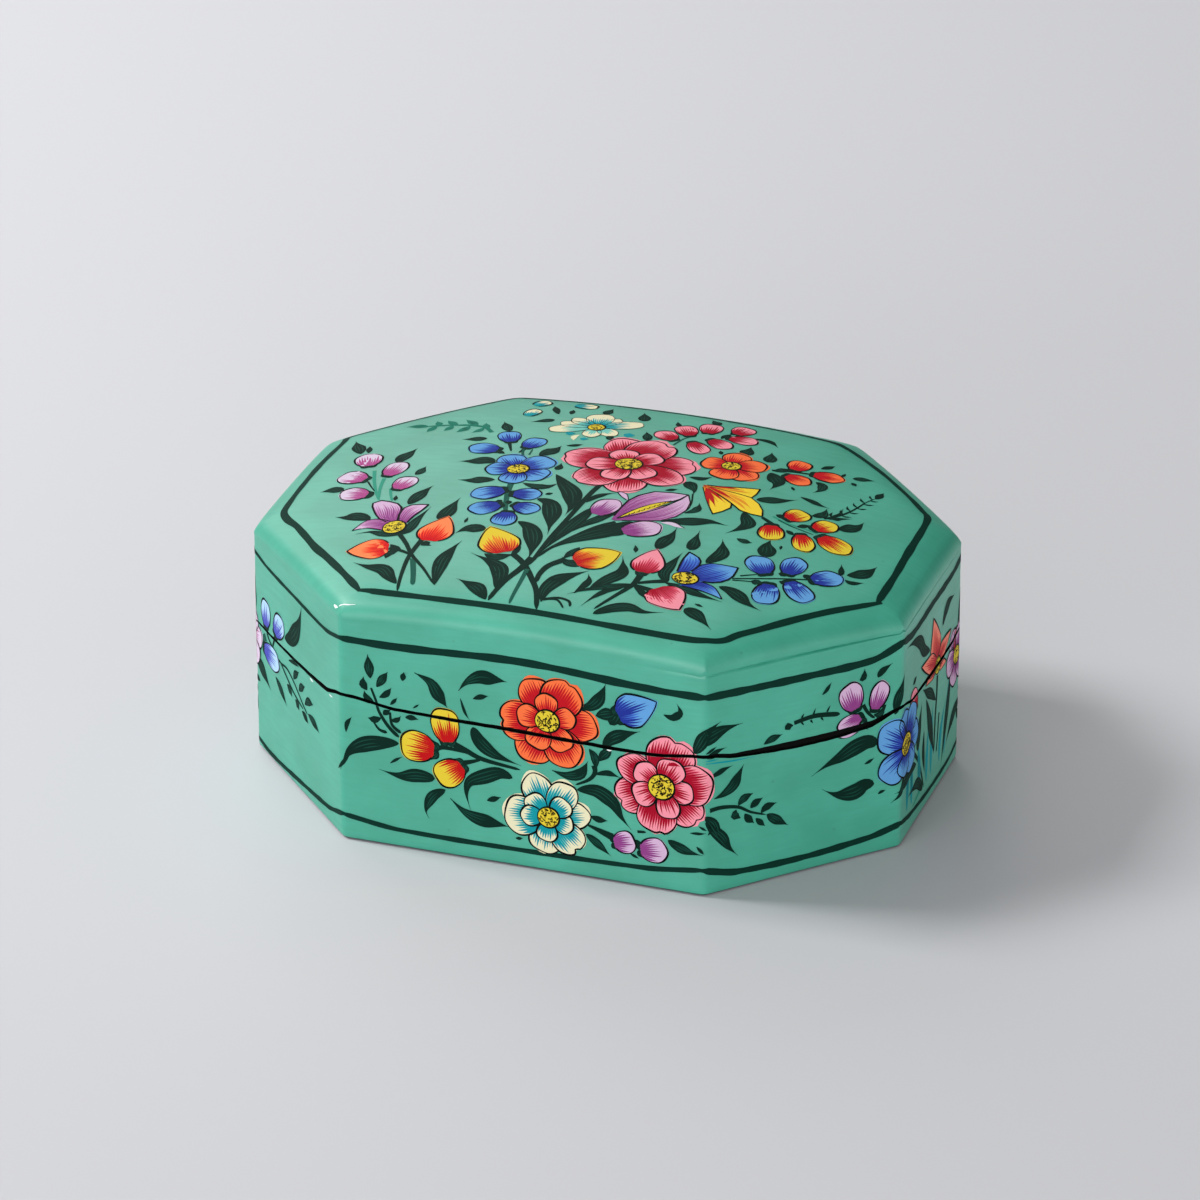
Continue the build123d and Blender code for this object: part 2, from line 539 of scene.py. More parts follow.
def makeCrown():
    inside = wall["lidInside"]
    belowDome = shoulder["ballRadius"] - wall["crownThickness"]
    spots = [pathPoint(u) for u in ring]
    rim = [point - out * outline["skin"] for point, out in spots]
    rows, slots = [], []
    # the hollow underside, from the middle outwards
    for k in (0.02, 0.2, 0.4, 0.6, 0.8, 0.999):
        below = [(point - out * inside) * k for point, out in spots]
        rows.append([Vector((p.x, p.y, boxHeight - shoulder["ballRadius"]
                             + math.sqrt(belowDome ** 2 - p.length_squared))) * mm for p in below])
        slots.append(1)
    rows.append(inward(inside, jointHeight))
    slots.append(1)
    # the upright edge above the joint, with the filled groove
    middle, spread = shoulder["grooveAt"]
    for share in (0.0, 0.14, 0.26, 0.36, 0.44, 0.52, 0.62, 0.74, 0.84, 0.92, 1.0):
        row = []
        for u, (point, out), edge in zip(ring, spots, rim):
            h = jointHeight + (crownHeight(edge.x, edge.y) - jointHeight) * share
            lumpy = 1 + shoulder["lumps"] * noise.noise(Vector((u / shoulder["lumpLength"], 1.5, 0)))
            groove = shoulderGroove(u) * lumpy * math.exp(-((share - middle) / spread) ** 2)
            fair = 1 - share ** 4
            offset = -outline["skin"] + (wallOffset(u, h) + outline["skin"]) * fair - groove
            spot = point + out * offset
            row.append(Vector((spot.x, spot.y, h)) * mm)
        rows.append(row)
        slots.append(0)
    # closer rings where the shoulder curves, then even ones up to the middle
    shares = [0.002, 0.005, 0.009, 0.014, 0.02, 0.028, 0.038, 0.05, 0.064, 0.08, 0.098, 0.118, 0.14]
    shares += [0.14 + 0.86 * k / 42 for k in range(1, 42)] + [0.997]
    for k in shares:
        rows.append([crownPoint(p.x * (1 - k), p.y * (1 - k)) for p in rim])
        slots.append(2)
    sweep("lid_crown_moulded", rows, slots, topLacquer, False, "lid_crown", "lid")


makeBaseWall()
makeLidWall()
makeCrown()
# The board floor and the collar keep their own shape and get a brushed black coat.
for node, slotName in (("base_floor", "black_lacquer"), ("locating_collar", "collar_board")):
    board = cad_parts[node]
    board.data.materials.clear()
    board.data.materials.append(insideBlack)
print("shells made")

brush = {
    "film": 0.04,  # mm, how far the first coat stands on the lacquer
    "coat": 0.005,  # mm, each further coat
    "line": 0.38,  # mm, the ink outline
    "tooth": 0.6,  # mm, from one hatching stroke to the next
    "step": 0.8,  # mm, how finely a curved stroke is divided
    "facet": 1.3,  # mm, how finely a petal is divided
    "outOfLine": 0.28,  # mm, how far a flower's ground lies beside its ink
    "apart": 0.22,  # coats between strokes that may cross
    "hair": 0.2,  # mm, how wide a leaf starts
    "veined": 1.9,  # mm, the width from which a leaf has veins
    "vein": 0.22,  # mm
    "veinsAt": (-0.24, 0.02, 0.22),  # their places across the leaf, as shares of its width
}
hand = random.Random(41)


class Canvas:
    # collects painted shapes in flat face coordinates, in mm
    def __init__(self):
        self.verts = []
        self.faces = []
        self.pots = []
        self.strokes = 0
        self.move = lambda x, y: (x, y)

    def grid(self, pot, level, rows):
        # rows of points joined into a sheet; the level says how many coats lie below it
        start, width = len(self.verts), len(rows[0])
        for row in rows:
            self.verts += [self.move(p[0], p[1]) + (level,) for p in row]
        for r in range(len(rows) - 1):
            for k in range(width - 1):
                a = start + r * width + k
                self.faces.append((a, a + 1, a + 1 + width, a + width))
                self.pots.append(pot)

    def nextCoat(self):
        # strokes that may cross never lie at one height
        self.strokes += 1
        return brush["apart"] * (self.strokes % 8)


def pairs(values):
    return list(zip(values[::2], values[1::2]))


def towards(angle):
    return Vector((math.cos(math.radians(angle)), math.sin(math.radians(angle))))


def smooth(points, step=None):
    # a rounded line through the given points
    step = step or brush["step"]
    ends = [points[0]] + list(points) + [points[-1]]
    line = []
    for i in range(1, len(ends) - 2):
        p, q, r, s = (Vector(e) for e in ends[i - 1:i + 3])
        count = max(1, math.ceil((r - q).length / step))
        for k in range(count):
            t = k / count
            bend = 2 * p - 5 * q + 4 * r - s + t * (3 * (q - r) + s - p)
            line.append(q + 0.5 * t * (r - p + t * bend))
    line.append(Vector(points[-1]))
    return line


def ribbon(canvas, pot, level, line, widthAt):
    # a stroke of the brush: widthAt gives its width from 0 at the start to 1 at the end
    last = len(line) - 1
    rows = []
    for i, p in enumerate(line):
        along = line[min(i + 1, last)] - line[max(i - 1, 0)]
        along = along.normalized() if along.length > 1e-6 else Vector((1, 0))
        side = Vector((-along.y, along.x)) * widthAt(i / max(last, 1)) / 2
        rows.append([p + side, p, p - side])
    canvas.grid(pot, level, rows)


def stem(canvas, thick, thin, *values, pot="leaf", level=0):
    # an even stroke whose last twelfth thins out
    ribbon(canvas, pot, level + canvas.nextCoat(), smooth(pairs(values)),
           lambda t: max(0.05, (thick + (thin - thick) * t) * (1 - 0.8 * max(0, 12 * t - 11))))


def leaf(canvas, width, *values, pot="leaf", level=2):
    # one loaded stroke that swells to its belly and is drawn out to a hair; the belly is halfway,
    # unless a share of the length comes before the points
    belly, values = (values[0], values[1:]) if len(values) % 2 else (0.5, values)
    line = smooth(pairs(values), min(brush["step"], 0.35 * width))
    power = math.log(0.5) / math.log(belly)
    level += canvas.nextCoat()

    def swell(t):
        u = min(max(t, 0), 1) ** power
        full = width * math.sin(math.pi * u) ** (0.95 if u < 0.5 else 2.1)
        return max(full, brush["hair"] * (1 - 0.6 * t))
    ribbon(canvas, pot, level, line, swell)
    if width > brush["veined"] and len(line) > 5:
        last = len(line) - 1
        for offset in brush["veinsAt"]:
            first, end = round(last * hand.uniform(0.1, 0.3)), round(last * hand.uniform(0.5, 0.75))
            vein = []
            for i in range(first, end + 1):
                along = (line[min(i + 1, last)] - line[max(i - 1, 0)]).normalized()
                vein.append(line[i] + Vector((-along.y, along.x)) * swell(i / last) * offset)
            if len(vein) > 2:
                ribbon(canvas, "leafLight", level + 0.1, vein,
                       lambda t: brush["vein"] * math.sin(math.pi * t) + 0.02)


def fern(canvas, size, pairsOfLeaves, *values, thick, plump):
    # a stalk with leaflets on both sides and one at its tip
    stem(canvas, thick, 0.25, *values)
    line = smooth(pairs(values), 0.4)
    for k in range(pairsOfLeaves):
        for turn in (1, -1):
            share = (k + 0.75 + 0.12 * turn) / (pairsOfLeaves + 0.55)
            i = min(len(line) - 2, round(share * len(line)))
            along = (line[i + 1] - line[i]).normalized()
            side = Vector((-along.y, along.x)) * turn
            reach = size * hand.uniform(0.85, 1.15) * (1.05 - 0.3 * share)
            bend = line[i] + along * reach * 0.2 + side * reach * 0.45
            tip = line[i] + along * reach * 0.6 + side * reach * 0.75
            leaf(canvas, reach * plump, *line[i], *bend, *tip)
    tip = line[-1] + (line[-1] - line[-3]).normalized() * size
    leaf(canvas, size * plump * 1.2, *line[-1], *tip)


# Each petal is laid in three tones: a flat light ground, then a comb of strokes in the middle
# tone and a shorter one in the deep tone, drawn out from its root, and last the ink outline.
petalForm = {
    "cap": 0.4,  # the share of the length that the rounded end takes
    "foot": (0.34, 0.8),  # how wide the root is, as a share of the width, and how fast it widens
    "budFoot": (0.12, 0.52),
    "halo": 1.04,  # how far the ground runs past the ink line
}
hatching = {  # where the strokes of each tone end, as shares of the length, and how they taper
    "flower": {"mid": (0.52, 0.7), "deep": (0.48, 0.94), "taper": 0.46},
    "double": {"mid": (0.8, 0.92), "deep": (0.84, 1.0), "taper": 0.34},
    "cream": {"mid": (0.66, 0.84), "deep": (0.74, 0.96), "taper": 0.32},
    "bud": {"mid": (0.5, 0.68), "deep": (0.56, 0.93)},
    "pointedBud": {"mid": (0.56, 0.76), "deep": (0.44, 0.68)},
    "opening": {"mid": (0.5, 0.66), "deep": (0.4, 0.85)},
    "lily": {"mid": (0.6, 0.85), "deep": (0.5, 0.72)},
    "star": {"mid": (0.65, 0.85), "deep": (0.5, 0.7)},
    "stained": {"mid": (0.5, 0.8), "deep": (0.55, 0.75)},
    "pale": {"mid": (0.5, 0.8), "deep": (0.1, 0.3)},
    "tulip": {"mid": (0.3, 0.62), "deep": (0.05, 0.2)},
    "closedTulip": {"mid": (0.66, 0.95), "deep": (0.5, 0.84)},
}


def petalShape(origin, angle, start, reach, width, cap="round", notch=(), foot=None):
    # places a point by s, from 1 at the left edge to -1 at the right, and r from root to tip
    ahead = towards(angle)
    across = Vector((-ahead.y, ahead.x))
    length = reach - start
    root = Vector(origin) + ahead * start
    phase = hand.uniform(0, 6.28)
    narrow, fullness = foot or petalForm["foot"]

    def edge(s):
        if cap == "round":
            e = 1 - petalForm["cap"] + petalForm["cap"] * math.sqrt(max(0.0, 1 - s * s))
        elif cap == "point":
            e = 0.38 + 0.62 * (1 - abs(s)) ** 0.85
        else:  # an onion: full sides and a drawn tip
            e = 0.4 + 0.5 * max(0.0, math.cos(math.pi / 2 * s)) ** 0.75 + 0.1 * (1 - abs(s)) ** 3
        for where, depth in notch:
            e -= depth * math.exp(-((s - where) / 0.15) ** 2)
        return e * (1 + 0.022 * math.sin(4 * s + phase))

    def at(s, r, grow=1.0):
        side = narrow + (1 - narrow) * math.sin(math.pi / 2 * r ** fullness)
        return root + ahead * edge(s) * r * length * grow + across * (width / 2 * s * side * grow)
    return at


def edgedShape(left, right):
    # a petal between its left and its right edge, both given from root to tip
    edges = [smooth(pairs(values), 0.5) for values in (left, right)]

    def along(line, r):
        t = min(max(r, 0), 1) * (len(line) - 1)
        i = min(int(t), len(line) - 2)
        return line[i].lerp(line[i + 1], t - i)

    def at(s, r, grow=1.0):
        return along(edges[1], r).lerp(along(edges[0], r), 0.5 + 0.5 * s * grow)
    return at


def groundSheet(canvas, at, pot, level, grow=1.0):
    # closely divided, so that it follows the curved face as the strokes on it do
    count = 2 + math.ceil((at(0, 1.0) - at(0, 0.0)).length / brush["facet"])
    across = [math.sin(math.pi / 2 * (k / 6)) for k in range(-6, 7)]
    along = [0.02 + 0.98 * math.sin(math.pi / 2 * k / count) for k in range(count + 1)]
    canvas.grid(pot, level, [[at(s, r, grow) for s in across] for r in along])


def paintPetal(canvas, at, width, tone, level, mid, deep, taper=0.46, line=1.0):
    groundSheet(canvas, at, tone + "Light", level)
    count = max(4, round(width / brush["tooth"]))
    parts = 2 + math.ceil((at(0, 1.0) - at(0, 0.0)).length / brush["facet"])
    for share, depth, coat in ((mid, "Mid", 1), (deep, "Deep", 2)):
        for k in range(count):
            low, high = -0.98 + 1.96 * k / count, -0.98 + 1.96 * (k + 1) / count
            middle = (low + high) / 2
            end = hand.uniform(*share) * (1 - 0.08 * middle * middle)
            thin = min(0.9 * end, taper * coat / 2 * hand.uniform(0.75, 1.25))
            rows = []
            for r in [max(0.02, (end - thin) * j / parts) for j in range(parts)] + [
                    end - thin * j / 4 for j in range(4, -1, -1)]:
                half = (high - low) / 2 * (1 - 0.96 * max(0.0, 1 - (end - r) / thin) ** 1.1)
                rows.append([at(middle + half, r), at(middle - half, r)])
            canvas.grid(tone + depth, level + coat, rows)
    sides = (0.1, 0.25, 0.4, 0.55, 0.7, 0.85)
    rim = [at(1, r) for r in sides]
    rim += [at(math.sin(math.pi / 2 * k / 12), 1.0) for k in range(12, -13, -1)]
    rim += [at(-1, r) for r in sides[::-1]]
    swell = hand.uniform(0, 6.28)
    ribbon(canvas, "ink", level + 3, rim,
           lambda t: brush["line"] * line * (1 + 0.3 * math.sin(9 * t + swell)))


heartForm = {
    "stamens": 7,  # for each square mm of the radius squared
    "spread": 0.84,
    "length": (0.16, 0.38),  # as shares of the radius
    "width": (0.36, 0.16),  # mm, from start to end
}


def blossomHeart(canvas, x, y, radius, level, squash=1.0):
    # a yellow heart with scribbled stamens
    def ringOf(r):
        turns = [math.pi / 10 * k for k in range(21)]
        return [Vector((x + r * math.cos(turn), y + r * squash * math.sin(turn))) for turn in turns]
    outer = ringOf(radius)
    canvas.grid("pollen", level, [outer, ringOf(radius * 0.66), ringOf(radius * 0.33), ringOf(0.02)])
    ribbon(canvas, "ink", level + 2, outer, lambda t: brush["line"] * (0.95 + 0.35 * math.sin(9 * t)))
    thick, thin = heartForm["width"]
    for k in range(round(radius * radius * heartForm["stamens"])):
        turn, r = hand.uniform(0, 6.28), heartForm["spread"] * radius * math.sqrt(hand.random())
        spot = Vector((x + r * math.cos(turn), y + r * squash * math.sin(turn)))
        way, hook = hand.uniform(0, 360), hand.uniform(-90, 90)
        size = radius * hand.uniform(*heartForm["length"])
        dash = [spot + towards(way + hook * t) * size * t for t in (0, 0.3, 0.6, 1.0)]
        ribbon(canvas, "pollenShade" if k % 4 == 0 else "ink", level + 1 + 0.2 * (k % 4), dash,
               lambda t: thick + (thin - thick) * t)


def blossom(canvas, x, y, tone, heart, outer, inner=(), squash=1.0):
    # a full-blown flower; a petal is (angle, reach, width) with any notches after it. Neighbours
    # lie at different levels, and the last of an odd number at a third one
    level = 3
    aside = towards(hand.uniform(20, 100)) * brush["outOfLine"]
    for n, (angle, reach, width, *notch) in enumerate(outer):
        at = petalShape(Vector((x, y)) + aside, angle, 0, reach, width, notch=notch)
        groundSheet(canvas, at, tone + "Light", level - 0.2 * (n % 5), petalForm["halo"])
    for petals, base in ((outer, level + 1), (inner, level + 13)):
        for n, (angle, reach, width, *notch) in enumerate(petals):
            turn = 2 if n == len(petals) - 1 and n % 2 == 0 else n % 2
            at = petalShape((x, y), angle, heart * 0.5, reach, width, notch=notch)
            kind = "cream" if tone == "cream" else "double" if inner and petals is outer else "flower"
            paintPetal(canvas, at, width, tone, base + 4 * turn, **hatching[kind])
    blossomHeart(canvas, x, y, heart, level + (26 if inner else 14), squash)


def bud(canvas, x, y, angle, length, width, tone, calyx=0.9, cap="round", kind="bud"):
    # a closed bud centred on a point and pointing away from its stalk
    ahead = towards(angle)
    across = Vector((-ahead.y, ahead.x))
    root = Vector((x, y)) - ahead * length / 2
    level = 4 + 0.05 * canvas.nextCoat()
    if calyx:
        foot = root - ahead * calyx
        for turn in (1, -1):
            wing = root + across * turn * width * 0.34 + ahead * length * 0.1
            middle = root + across * turn * width * 0.12 - ahead * calyx * 0.3
            leaf(canvas, width * 0.3, *foot, *middle, *wing)
    at = petalShape(root, angle, 0, length, width, cap=cap, foot=petalForm["budFoot"])
    groundSheet(canvas, at, tone + "Light", level - 1, petalForm["halo"])
    paintPetal(canvas, at, width, tone, level, **hatching[kind])


def strokeAll(canvas, stems=(), leaves=(), buds=()):
    for draw, strokes in ((stem, stems), (leaf, leaves), (bud, buds)):
        for one in strokes:
            draw(canvas, *one)


# The bouquet on the crown, x to the right and y to the back from the middle of the lid. A stem is
# its width at the start and at the end and then its points. A leaf is its width, its belly where
# that isn't halfway, and its points. A bud is its middle, angle, length, width and tone, and the
# length of its calyx where that isn't the usual one.
def paintTop(canvas):
    for thick, thin, pot, *values in (
            (0.9, 0.6, "sap", -54.6, 0.8, -52.5, -5, -50, -10.5, -48, -14),
            (0.9, 0.6, "sap", -50.9, -3, -50, -8, -48.4, -13.4),
            (0.8, 0.5, "sap", -47.5, -8, -46.4, -11, -45, -14),
            (0.5, 0.3, "leaf", -54, -5, -52.4, -7.4, -50.6, -9.8),
            (1.5, 1.0, "stem", -22.4, 1.5, -21, -6, -19.3, -12, -18.3, -14.8),
            (0.8, 0.5, "stem", -23.8, 13, -25, 15.5, -25.6, 18.6),
            (0.5, 0.3, "stem", -23.3, 15, -23.6, 18.4),
            (0.6, 0.4, "stem", 5.3, 30.5, 6.3, 35, 7.8, 37.4),
            (0.6, 0.4, "sap", 37, 3.5, 40.5, 2, 46, 0.9, 48.6, 0),
            (0.5, 0.4, "stem", 38.5, 2.5, 42, 0.9, 47.5, -0.6),
            (1.1, 0.7, "stem", -5.2, -38, -4.9, -44, -4.6, -51.5),
            (1.3, 1.1, "stem", -31, -39, -28.7, -45, -27.3, -49.3)):
        stem(canvas, thick, thin, *values, pot=pot)
    strokeAll(canvas, stems=(
        (1.4, 1.0, -2.6, 5, -3.4, -1, -4.2, -14, -5, -25, -5.3, -36),
        (1.0, 0.8, 6.2, -12.6, 3, -16, -0.5, -22, -3.4, -28, -5, -33),
        (2.0, 1.0, 1.2, -32, -1.3, -35.5, -2, -39.5, -1.6, -42.6),
        (2.0, 1.0, -5.8, -33, -6.6, -38, -8.2, -43.5, -9.4, -51.4),
        (1.6, 1.1, -10.2, -32.8, -6.8, -36, -3, -41.5, -0.4, -46, 1.7, -51.9),
        (1.0, 0.6, 2, -48.6, 5, -47.2, 7.6, -47.8, 8.4, -49.6),
        (0.8, 0.4, 2.3, -48.4, 5, -48, 7.2, -50.4),
        (1.7, 0.6, 18.8, -31.5, 18.7, -35, 18.3, -38, 16.2, -43, 13.6, -49),
        (1.3, 1.7, 18.8, -37.6, 21, -37.9, 23.8, -38.5), (1.0, 1.6, 19.2, -36.4, 22, -34.8, 25, -33.4),
        (1.2, 0.5, -37.6, -29.2, -34.6, -33.2, -31.6, -37.8, -27.3, -42.6, -22.8, -48.4),
        (1.3, 0.7, -31.9, -30.5, -32.1, -35, -32, -40, -31, -46.5, -29.9, -51.8),
        (1.2, 0.8, -37.8, -35.6, -34.8, -36.2, -31.8, -37.6), (0.9, 1.3, 35, 2, 37, 0.6, 38.6, -0.6),
        (0.5, 0.5, 37.4, -27, 43, -24.4, 48, -22, 53, -19.9),
        (0.4, 0.4, 37.6, -27.6, 41, -26.6, 44, -26), (0.5, 0.4, 38.6, -25.2, 41.8, -23),
        (0.9, 0.7, 29.6, 26.2, 33.5, 27.6, 38.3, 28.6), (1.1, 0.4, -30.3, 21.4, -29.2, 19, -27.9, 16),
        (1.2, 0.5, -25.3, 18.4, -25.9, 15.5), (0.4, 0.4, 17.6, 6.6, 18.8, 2, 19, -1.6)),
        leaves=(
        (4.6, -13.9, 6.2, -10.6, 2, -7.4, -2.2, -5.4, -8, -5.3, -13),
        (4.4, 0.42, -13.8, -6.8, -10.6, -8, -8.4, -12.5, -7, -18, -6, -22.5),
        (4.3, 0.42, -14.2, -18.3, -11, -20.2, -8.6, -24.5, -7, -30, -6.4, -34.5),
        (3.3, 0.35, -0.7, -8, -1.5, -13, -2.7, -19, -4, -26, -5, -32),
        (2.6, 0.4, 4.9, -7.2, 2.8, -11.3, 0.2, -15.8, -2, -21),
        (5.2, 0.32, 10.2, -11.5, 7, -16, 2.6, -20.3, -1.8, -25.5, -4.8, -31.5),
        (2.4, 0.4, 9.8, -17.2, 5, -19, 1, -22), (1.8, -2.9, -5.6, -1.8, -2.4, 0.2, -0.2, 1.8, 0.7),
        (4.0, 0.45, -9.3, -47, -9.9, -42.5, -11.6, -38.7, -15, -36.4, -19.3, -34.4),
        (3.6, 0.45, -10, -51.2, -12, -49, -13.4, -47.6, -16, -46.4, -18.8, -45.2),
        (4.0, 1.9, -49.5, 1.3, -45, 2.5, -40.5, 4.8, -37.8, 7.8, -35),
        (1.9, 7.6, -44.5, 8.6, -41.5, 9, -38.8, 8, -36.2),
        (3.6, 0.45, 10.2, -42, 12.6, -37.5, 14.6, -33.5, 13.6, -29.5, 12.6, -26.8),
        (2.2, 0.4, 19.5, -37.2, 15, -39.3, 10.5, -41.8, 6.3, -45.3),
        (1.6, 0.4, 16.8, -39.5, 14, -41.5, 12, -45, 10.6, -48.6), (1.8, 19, -38.2, 21, -39.5, 23, -42),
        (2.8, -16.4, -34, -13.5, -34.9, -10.2, -32.6), (1.5, -9.9, -29, -10.2, -32, -10.8, -33.8),
        (3.0, 0.4, 5.6, -33.2, 2, -32.8, 0.3, -31), (2.0, 2.6, -26, 1.6, -29, 0.6, -32.2),
        (2.4, 17.2, -31.4, 18.8, -32.6, 20.6, -31.2),
        # round the lilac buds and the lilac lily
        (3.1, 0.4, -57.9, -9.9, -60, -9.6, -63, -10.9),
        (3.3, 0.42, -40.7, -15.2, -40.1, -11.5, -39.5, -8.5, -38.5, -5),
        (3.7, 0.36, -31.4, -21.3, -30.8, -17.3, -30.7, -13.5, -30.5, -10),
        (3.9, 0.42, -19.8, -23.6, -22.3, -23.5, -24.4, -24.6, -25.7, -26.6),
        (3.9, 0.42, -46.6, -23.4, -50, -22.3, -52.5, -22.9, -55, -22.9),
        (2.6, 0.35, -38.4, -29, -36.6, -27.6, -36.2, -22, -35.3, -15.5),
        (2.4, 0.4, -37, -28.8, -41, -29.6, -44.6, -29, -47.4, -30.3),
        (3.5, -22.6, -48.6, -23.7, -43.5, -24.3, -38.2, -23.8, -33, -23.1, -29.6),
        (3.6, 0.45, -31, -49.4, -33.3, -47.2, -36, -44.3, -40, -43.6, -43.4, -42.3),
        (1.1, 0.6, -45, -11.3, -44.4, -13.8), (0.8, 0.6, -25.5, -19, -25.4, -21.6),
        (1.8, -38, -33.9, -36.2, -35.4, -34.4, -36.2), (2.2, -37, -39.8, -36.8, -37.5, -35, -36),
        (2.4, 0.4, -30.8, -31.2, -30.4, -32.6, -29, -33),
        (3.4, 0.45, -26.2, 0.3, -28.8, -0.3, -31.2, -1.1, -34.2, -1.3),
        (2.6, -19.5, 0, -16.2, -0.9, -13.5, -0.3, -11.8, 2),
        (3.3, 0.45, -61.3, 10, -62.6, 12.6, -64, 15, -65.4, 17.7),
        (1.5, -59.7, 10.6, -60.2, 12.4, -60.8, 14.6),
        (3.3, 0.4, -50.9, 5.6, -50.8, 8.3, -50, 11, -49.3, 14.2),
        (2.2, 0.45, -44.6, -0.3, -44, 1.2, -43.9, 2.6, -43.7, 4.4),
        # round the blue flower
        (3.9, 0.4, -29.3, 9.3, -31.8, 9.9, -34, 9, -37.5, 8.3),
        (2.6, 0.45, -35.7, 22.2, -38, 21.4, -41, 20.6),
        (2.6, 0.45, -32.2, 27.4, -33.7, 29.8, -35.5, 33), (1.6, -31, 15.5, -28.8, 14.3),
        (3.6, 0.45, -20.8, 15, -20, 17, -18.6, 19.2, -18, 21.7),
        (1.9, 0.4, -14.9, 8.6, -14.5, 10, -14.8, 12.4), (1.4, -17, 22.2, -15.3, 22.9, -13.6, 24),
        (1.2, -12.8, -4.3, -11.4, -3.2), (1.6, -19.6, -9.2, -18.9, -11), (1.8, -22, -9.4, -21, -10.6),
        (1.6, -22.6, -2.6, -22.1, -4.2),
        # round the cream flower and the pink buds
        (1.8, -25.3, 40.8, -26.5, 43, -28, 46), (1.4, -22.6, 41.5, -22.9, 44.5),
        (2.2, 0.4, -24.8, 36.8, -27, 35.6, -29.6, 34.2), (2.4, 0.4, -15.2, 43.6, -15, 45.5, -14.6, 48),
        (3.0, 0.4, -5.7, 42.3, -6, 44.2, -7.2, 47.8), (2.0, -8.4, 28.3, -9.3, 29.6, -9, 31.2),
        (2.4, 0.4, -1, 30.8, -1.6, 33, -2.8, 36), (2.4, 0.4, 10.9, 46.8, 9.6, 48.2, 8.3, 49.6),
        (1.6, 13.9, 38.5, 14.3, 40.3, 15.3, 42.5), (1.4, 0.4, 3, 42, 2.3, 43.3, 1.6, 45),
        (1.7, 0.45, 20.5, 42, 23, 42.2, 25, 41.5, 27, 39.2),
        # round the orange flower
        (3.4, 0.4, 21, 31.5, 21.7, 33.8, 21.5, 36.8), (3.2, 0.35, 27.3, 30, 27.4, 32.3, 26.6, 36),
        (1.2, 16.8, 29.6, 16, 31.5), (4.0, 0.45, 29.8, 24.8, 31.2, 22.8, 32.9, 20, 32.3, 16.2),
        (1.9, 14.2, 14.6, 17, 14.8, 18.8, 16.5),
        (3.2, 0.32, 15.2, 12.4, 15.7, 10.6, 17.4, 8.2, 17.8, 6), (1.2, 11.5, 5.8, 12.7, 6.6, 14, 7.5),
        (2.4, 30, 26, 32, 27.6, 33, 29), (1.8, 39, 32.6, 40.1, 34, 41.3, 36),
        (0.9, 44.3, 30.8, 44.6, 33.2), (2.2, 0.4, 46.7, 31.5, 48.8, 32.4, 51.3, 33.3),
        (1.3, 47.2, 29.2, 48.6, 27.9), (2.4, 0.4, 40.2, 25, 42, 24, 42.3, 21.5, 41.2, 19.3),
        (0.8, 36.2, 19.8, 37.3, 18.2), (1.7, 0.45, 39.5, 15.8, 42.3, 14.9, 44.3, 14, 46.7, 13.4),
        (3.2, 0.4, 31.2, 9.8, 33.5, 10.7, 36.5, 12, 39.4, 14),
        # round the yellow buds and the tulips
        (2.6, 0.4, 44.5, 7.9, 45.8, 8.8, 46.6, 10, 46.4, 13),
        (3.8, 0.4, 51.8, 4.5, 53.5, 6.3, 55, 8.2, 55.5, 10.9), (2.0, 37.3, 4.6, 40, 4.2),
        (1.8, 43.2, 1.2, 45.6, 3.3), (1.4, 41.6, -1.4, 43.8, -3),
        (1.2, 0.4, 47.3, 8.3, 50.5, 9.8, 52.8, 11.2), (0.8, 0.4, 48.3, 9.5, 49.6, 12, 49.5, 15),
        (3.4, 0.42, 30.6, 2.5, 32, 0, 33.2, -2.4, 32.4, -5, 30, -8.8),
        (3.7, 0.45, 15.6, -8.8, 19, -7.6, 22, -6.4, 25.5, -5, 29.6, -5.3),
        (2.0, 18.9, -3.4, 20.6, -1.4, 20.9, 0.8, 20.4, 2.6),
        (3.5, 0.4, 18.6, -21.3, 18.9, -17.8, 19.6, -14.5, 19.6, -10.5),
        (3.0, 0.3, 25.2, -19, 25.3, -16.8, 24.9, -13.5, 24.6, -9.8),
        (3.5, 0.42, 30.2, -23, 32, -18.4, 31.6, -15.5, 30.3, -11.6),
        (1.1, 0.6, 13.6, -21.3, 14.2, -22.6, 14.7, -24.4), (2.0, 33, -10, 35, -10.5, 36.6, -10.4),
        (0.7, 42.8, -8.8, 43, -10.6),
        # round the blue lily and its buds
        (3.0, 0.38, 25, -34, 23.2, -30.5, 23.6, -25.5, 24.2, -20.7),
        (4.2, 0.38, 41.1, -15.2, 40.5, -12, 39.9, -9.8, 39.9, -7),
        (1.4, 0.4, 58, -15, 57.6, -13, 56.8, -10.3),
        (3.6, 0.45, 59.2, -14.2, 61.5, -12.6, 63, -10.2, 63.9, -7.2),
        (1.6, 59.4, -16.2, 61, -16.8, 63.3, -15.4),
        (3.6, 0.42, 35.8, -31.3, 38.6, -31.9, 41, -33.4, 43.6, -35.4, 47, -36.8),
        (0.8, 33.2, -40, 35.3, -40.5), (3.6, 0.35, 31.7, -42.6, 34, -43.4, 36.5, -45.3, 39.4, -47.9),
        (3.4, 0.4, 13.9, -50.5, 17.5, -47.4, 20.5, -46.2, 24, -46.8, 28, -45.6),
        (2.6, 0.45, 24.6, -34.2, 29, -35, 33, -36.2, 38.4, -37), (1.6, 42.9, -23.6, 42.2, -22.4),
        (2.2, 45.8, -20.6, 48, -20.4), (2.0, 50.8, -18.6, 52.8, -19.6), (1.6, 46.9, -23.6, 49.2, -24.2),
        (2.2, 0.4, 41.4, -26.3, 43.4, -26.4, 44.2, -27.6)))
